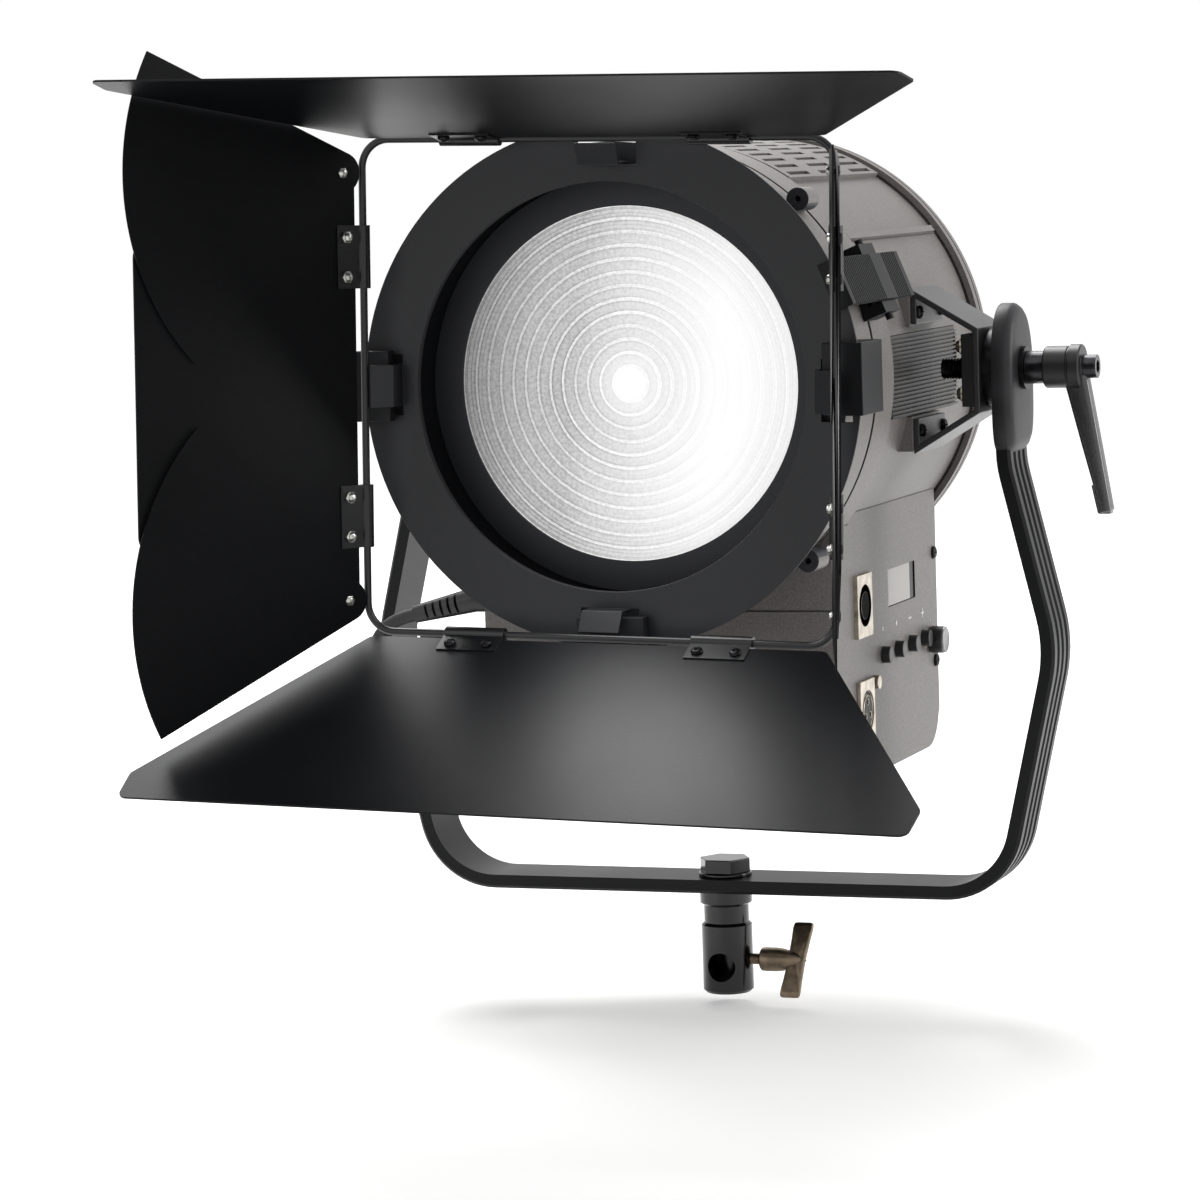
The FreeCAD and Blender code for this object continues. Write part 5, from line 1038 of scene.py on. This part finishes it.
def wingMeshes(s):
    turn = math.radians(-s["turn"])
    up = np.array([0.0, math.sin(-turn), math.cos(turn)])
    across = np.cross(up, np.array([1.0, 0.0, 0.0]))
    origin = np.array([0.0, 0.0, s["height"]])
    hub = partMesh(spun([(r, x) for r, x in s["hub"]], origin, (1, 0, 0), 40), 0)
    x = np.arange(s["stem"][1][1], s["stem"][3][1], s["threadEvery"] / 4)
    r = s["stem"][2][0] - 0.28 * (0.5 + 0.5 * np.cos(2 * np.pi * x / s["threadEvery"]))
    stem = partMesh(spun([s["stem"][0]] + list(zip(r, x)) + [s["stem"][4]], origin, (1, 0, 0), 24), 0)
    # lobes: half width grows with the square of the height, rows drawn in to a soft edge
    angle = np.linspace(0, 2 * np.pi, s["sides"], endpoint=False)
    c, d = np.cos(angle), np.sin(angle)
    b = s["lobeHalf"][1] * np.sign(d) * np.abs(d) ** (2 / s["power"])
    wide = s["lobeHalf"][0] + s["waist"] * ((b / s["lobeHalf"][1]) ** 2 - 0.5)
    a = wide * np.sign(c) * np.abs(c) ** (2 / s["power"])
    thick = s["thick"] + (s["thin"] - s["thick"]) * np.abs(b) / s["lobeHalf"][1]
    rows = []
    for share, level in ((0.0, 0.5), (0.85, 0.5), (0.95, 0.42), (1.0, 0.22), (1.0, -0.22), (0.95, -0.42),
                         (0.85, -0.5), (0.0, -0.5)):
        px = s["lobeCentre"] + a * share + b * share * s["slant"]
        pz = b * share
        rows.append(origin + np.array([1.0, 0.0, 0.0]) * px[:, None] + up * pz[:, None]
                    + across * (thick * level)[:, None])
    return [hub, stem, partMesh(np.array(rows), 0)]


joinedPiece("wingScrew", wingMeshes(wingSettings), ("wing",), bodyOf["wing_screw"], "wing_screw",
            slotOf["wing_screw"])

# brightness knob: fluted black sleeve with a bright turned end face
knobSettings = {"y": 80.5, "z": 178.5, "shaft": 3.0, "inner": 83.6, "seat": 93.4, "end": 101.7, "radius": 7.2,
                "flutes": 30, "fluteDeep": 0.16, "sides": 120}


def knobMeshes(s):
    angle = np.linspace(0, 2 * np.pi, s["sides"], endpoint=False)
    fluted = s["radius"] - s["fluteDeep"] * (0.5 + 0.5 * np.cos(s["flutes"] * angle))
    r = s["radius"]
    rows = [(0.0, s["inner"]), (s["shaft"], s["inner"]), (s["shaft"], s["seat"]), (r * 0.96, s["seat"]),
            (fluted, s["seat"] + 0.5), (fluted, s["end"] - 1.5), (r * 0.965, s["end"] - 1.2),
            (r * 0.93, s["end"] - 0.9), (0.0, s["end"] - 0.9)]
    cap = [(0.0, s["end"] - 1.6), (r * 0.955, s["end"] - 1.6), (r * 0.97, s["end"] - 0.9),
           (r * 0.94, s["end"] - 0.2), (r * 0.88, s["end"]), (r * 0.8, s["end"] - 0.12),
           (0.0, s["end"] - 0.18)]
    origin = (0.0, s["y"], s["z"])
    return [partMesh(spun(rows, origin, (1, 0, 0), s["sides"]), 0),
            partMesh(spun(cap, origin, (1, 0, 0), 64), 1)]


joinedPiece("brightnessKnob", knobMeshes(knobSettings), ("plastic", "turned"), bodyOf["brightness_knob"],
            "brightness_knob", slotOf["brightness_knob"])

# panel marks, printed in pale ink on the right wall: plus, minus, two dots and a scale round the knob
markSettings = {
    "wall": 93.0,
    "proud": 0.12,
    "markZ": 194.5,
    "plusY": 65.5,
    "minusY": 41.0,
    "dotYs": (-10.0, 15.5),
    "barHalf": 2.6,
    "barThin": 0.5,
    "dotRadius": 1.3,
    "ticks": 11,
    "tickSpan": 270.0,
    "tickInner": 8.9,
    "tickOuter": 10.6,
    "tickHalf": 0.28,
    "knobY": 80.5,
    "knobZ": 178.5,
}


def barMesh(s, y, z, longHalf, thinHalf, turnDegrees=0.0):
    # thin printed bar: four corners round its middle, raised by the ink's thickness
    turn = math.radians(turnDegrees)
    corners = np.array([(longHalf, thinHalf), (-longHalf, thinHalf), (-longHalf, -thinHalf),
                        (longHalf, -thinHalf)])
    ys = y + corners[:, 0] * math.cos(turn) - corners[:, 1] * math.sin(turn)
    zs = z + corners[:, 0] * math.sin(turn) + corners[:, 1] * math.cos(turn)
    low = np.full(4, s["wall"] - s["proud"])
    top = np.full(4, s["wall"] + s["proud"])
    middleY, middleZ = np.full(4, y), np.full(4, z)
    rows = [np.stack([low, middleY, middleZ], axis=-1), np.stack([low, ys, zs], axis=-1),
            np.stack([top, ys, zs], axis=-1), np.stack([top, middleY, middleZ], axis=-1)]
    return partMesh(np.array(rows), 0)


def panelMarks(s):
    z = s["markZ"]
    sides = 64
    plus = crossRadius(s["barHalf"], s["barThin"], sides)
    height = s["proud"] * 2
    rows = [(0.0, 0.0), (plus, 0.0), (plus, height), (0.0, height)]
    parts = [partMesh(spun(rows, (s["wall"] - s["proud"], s["plusY"], z), (1, 0, 0), sides), 0),
             barMesh(s, s["minusY"], z, s["barHalf"], s["barThin"])]
    for y in s["dotYs"]:
        dot = [(0.0, 0.0), (s["dotRadius"], 0.0), (s["dotRadius"], height), (0.0, height)]
        parts.append(partMesh(spun(dot, (s["wall"] - s["proud"], y, z), (1, 0, 0), 24), 0))
    middle = (s["tickInner"] + s["tickOuter"]) / 2
    half = (s["tickOuter"] - s["tickInner"]) / 2
    for degrees in np.linspace(90 - s["tickSpan"] / 2, 90 + s["tickSpan"] / 2, s["ticks"]):
        a = math.radians(degrees)
        parts.append(barMesh(s, s["knobY"] + middle * math.cos(a), s["knobZ"] + middle * math.sin(a), half,
                             s["tickHalf"], degrees))
    return parts


joinedPiece("panelMarks", panelMarks(markSettings), ("mark",), "head", None, slotOf["control_box"])
print("small pieces made")

# floor and soft light: the floor's own glow for the camera grows with the distance, so that the
# horizon stays white and the shadow near the lamp stays grey
studioSettings = {
    "floorHeight": -0.006,
    "floorHalf": 9.0,
    "floorColour": "#f2f2f1",
    "glowNear": 0.26,
    "glowFar": 0.62,
    "nearRadius": 0.35,
    "farRadius": 2.2,
    "worldStrength": 0.5,
}


def backdropRays(tree):
    # 1 for rays from the camera and for those that mirror or pass through something
    path = addNode(tree, "ShaderNodeLightPath")
    first = addNode(tree, "ShaderNodeMath", {"operation": "MAXIMUM"},
                    {0: path.outputs["Is Camera Ray"], 1: path.outputs["Is Glossy Ray"]})
    both = addNode(tree, "ShaderNodeMath", {"operation": "MAXIMUM"},
                   {0: first.outputs[0], 1: path.outputs["Is Transmission Ray"]})
    return both.outputs[0]


def addFloor(s):
    half = s["floorHalf"]
    u = np.linspace(-half, half, 3)
    x, y = np.meshgrid(u, u, indexing="ij")
    points = np.stack([x, y, np.full_like(x, s["floorHeight"])], axis=-1)
    floor = newObject("studioFloor", gridMesh("studioFloor", points))
    material, tree, shader, place = startMaterial("paleFloorPaint", {"Roughness": 0.9})
    cloud = addNode(tree, "ShaderNodeTexNoise", {"Scale": 3.0}, {"Vector": place})
    colour = colourRamp(tree, cloud.outputs["Fac"], ((0.2, s["floorColour"]), (0.8, "#f6f6f5")))
    tree.links.new(colour, shader.inputs["Base Color"])
    distance = addNode(tree, "ShaderNodeVectorMath", {"operation": "LENGTH"}, {0: place})
    share = addNode(tree, "ShaderNodeMapRange",
                    {"From Min": s["nearRadius"], "From Max": s["farRadius"], "To Min": s["glowNear"],
                     "To Max": s["glowFar"]}, {"Value": distance.outputs["Value"]})
    glow = addNode(tree, "ShaderNodeMath", {"operation": "MULTIPLY"},
                   {0: share.outputs[0], 1: backdropRays(tree)})
    shader.inputs["Emission Color"].default_value = linearColour("#ffffff")
    tree.links.new(glow.outputs[0], shader.inputs["Emission Strength"])
    floor.data.materials.append(material)
    return floor


def addWorld(s):
    world = bpy.data.worlds.new("studioWorld")
    bpy.context.scene.world = world
    world.use_nodes = True
    tree = world.node_tree
    tree.nodes.clear()
    strength = addNode(tree, "ShaderNodeMapRange", {"To Min": s["worldStrength"], "To Max": 1.0},
                       {"Value": backdropRays(tree)})
    back = addNode(tree, "ShaderNodeBackground", {"Color": linearColour("#ffffff")},
                   {"Strength": strength.outputs[0]})
    out = addNode(tree, "ShaderNodeOutputWorld")
    tree.links.new(back.outputs[0], out.inputs["Surface"])


def addAreaLight(name, place, aim, size, power):
    data = bpy.data.lights.new(name, "AREA")
    data.shape = "DISK"
    data.size = size
    data.energy = power
    light = newObject(name, data)
    away = Vector(aim) - Vector(place)
    turned = away.to_track_quat("-Z", "Y").to_matrix().to_4x4()
    light.matrix_world = Matrix.Translation(Vector(place)) @ turned
    return light


# lamps: place, aim, disc size in metres and power in watts; the last is the lit chips' own light leaving
# the lens, so it goes with the head
lampSettings = {
    "sideLight": ((2.2, 0.6, 0.9), (0.0, 0.0, 0.3), 1.4, 31.0),
    "topBackLight": ((-0.7, 1.1, 2.2), (0.0, -0.1, 0.2), 1.8, 56.0),
    "fillLight": ((-1.4, -2.2, 1.2), (0.0, 0.0, 0.3), 1.6, 6.0),
    "lensLight": ((0.0, -0.19, 0.322), (0.0, -0.75, -0.07), 0.12, 0.3),
}
addFloor(studioSettings)
addWorld(studioSettings)
lamps = {name: addAreaLight(name, *values) for name, values in lampSettings.items()}
lamps["lensLight"].data.use_shadow = False
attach(lamps["lensLight"], "head")
bpy.context.scene.view_settings.view_transform = "Standard"
print("studio made")
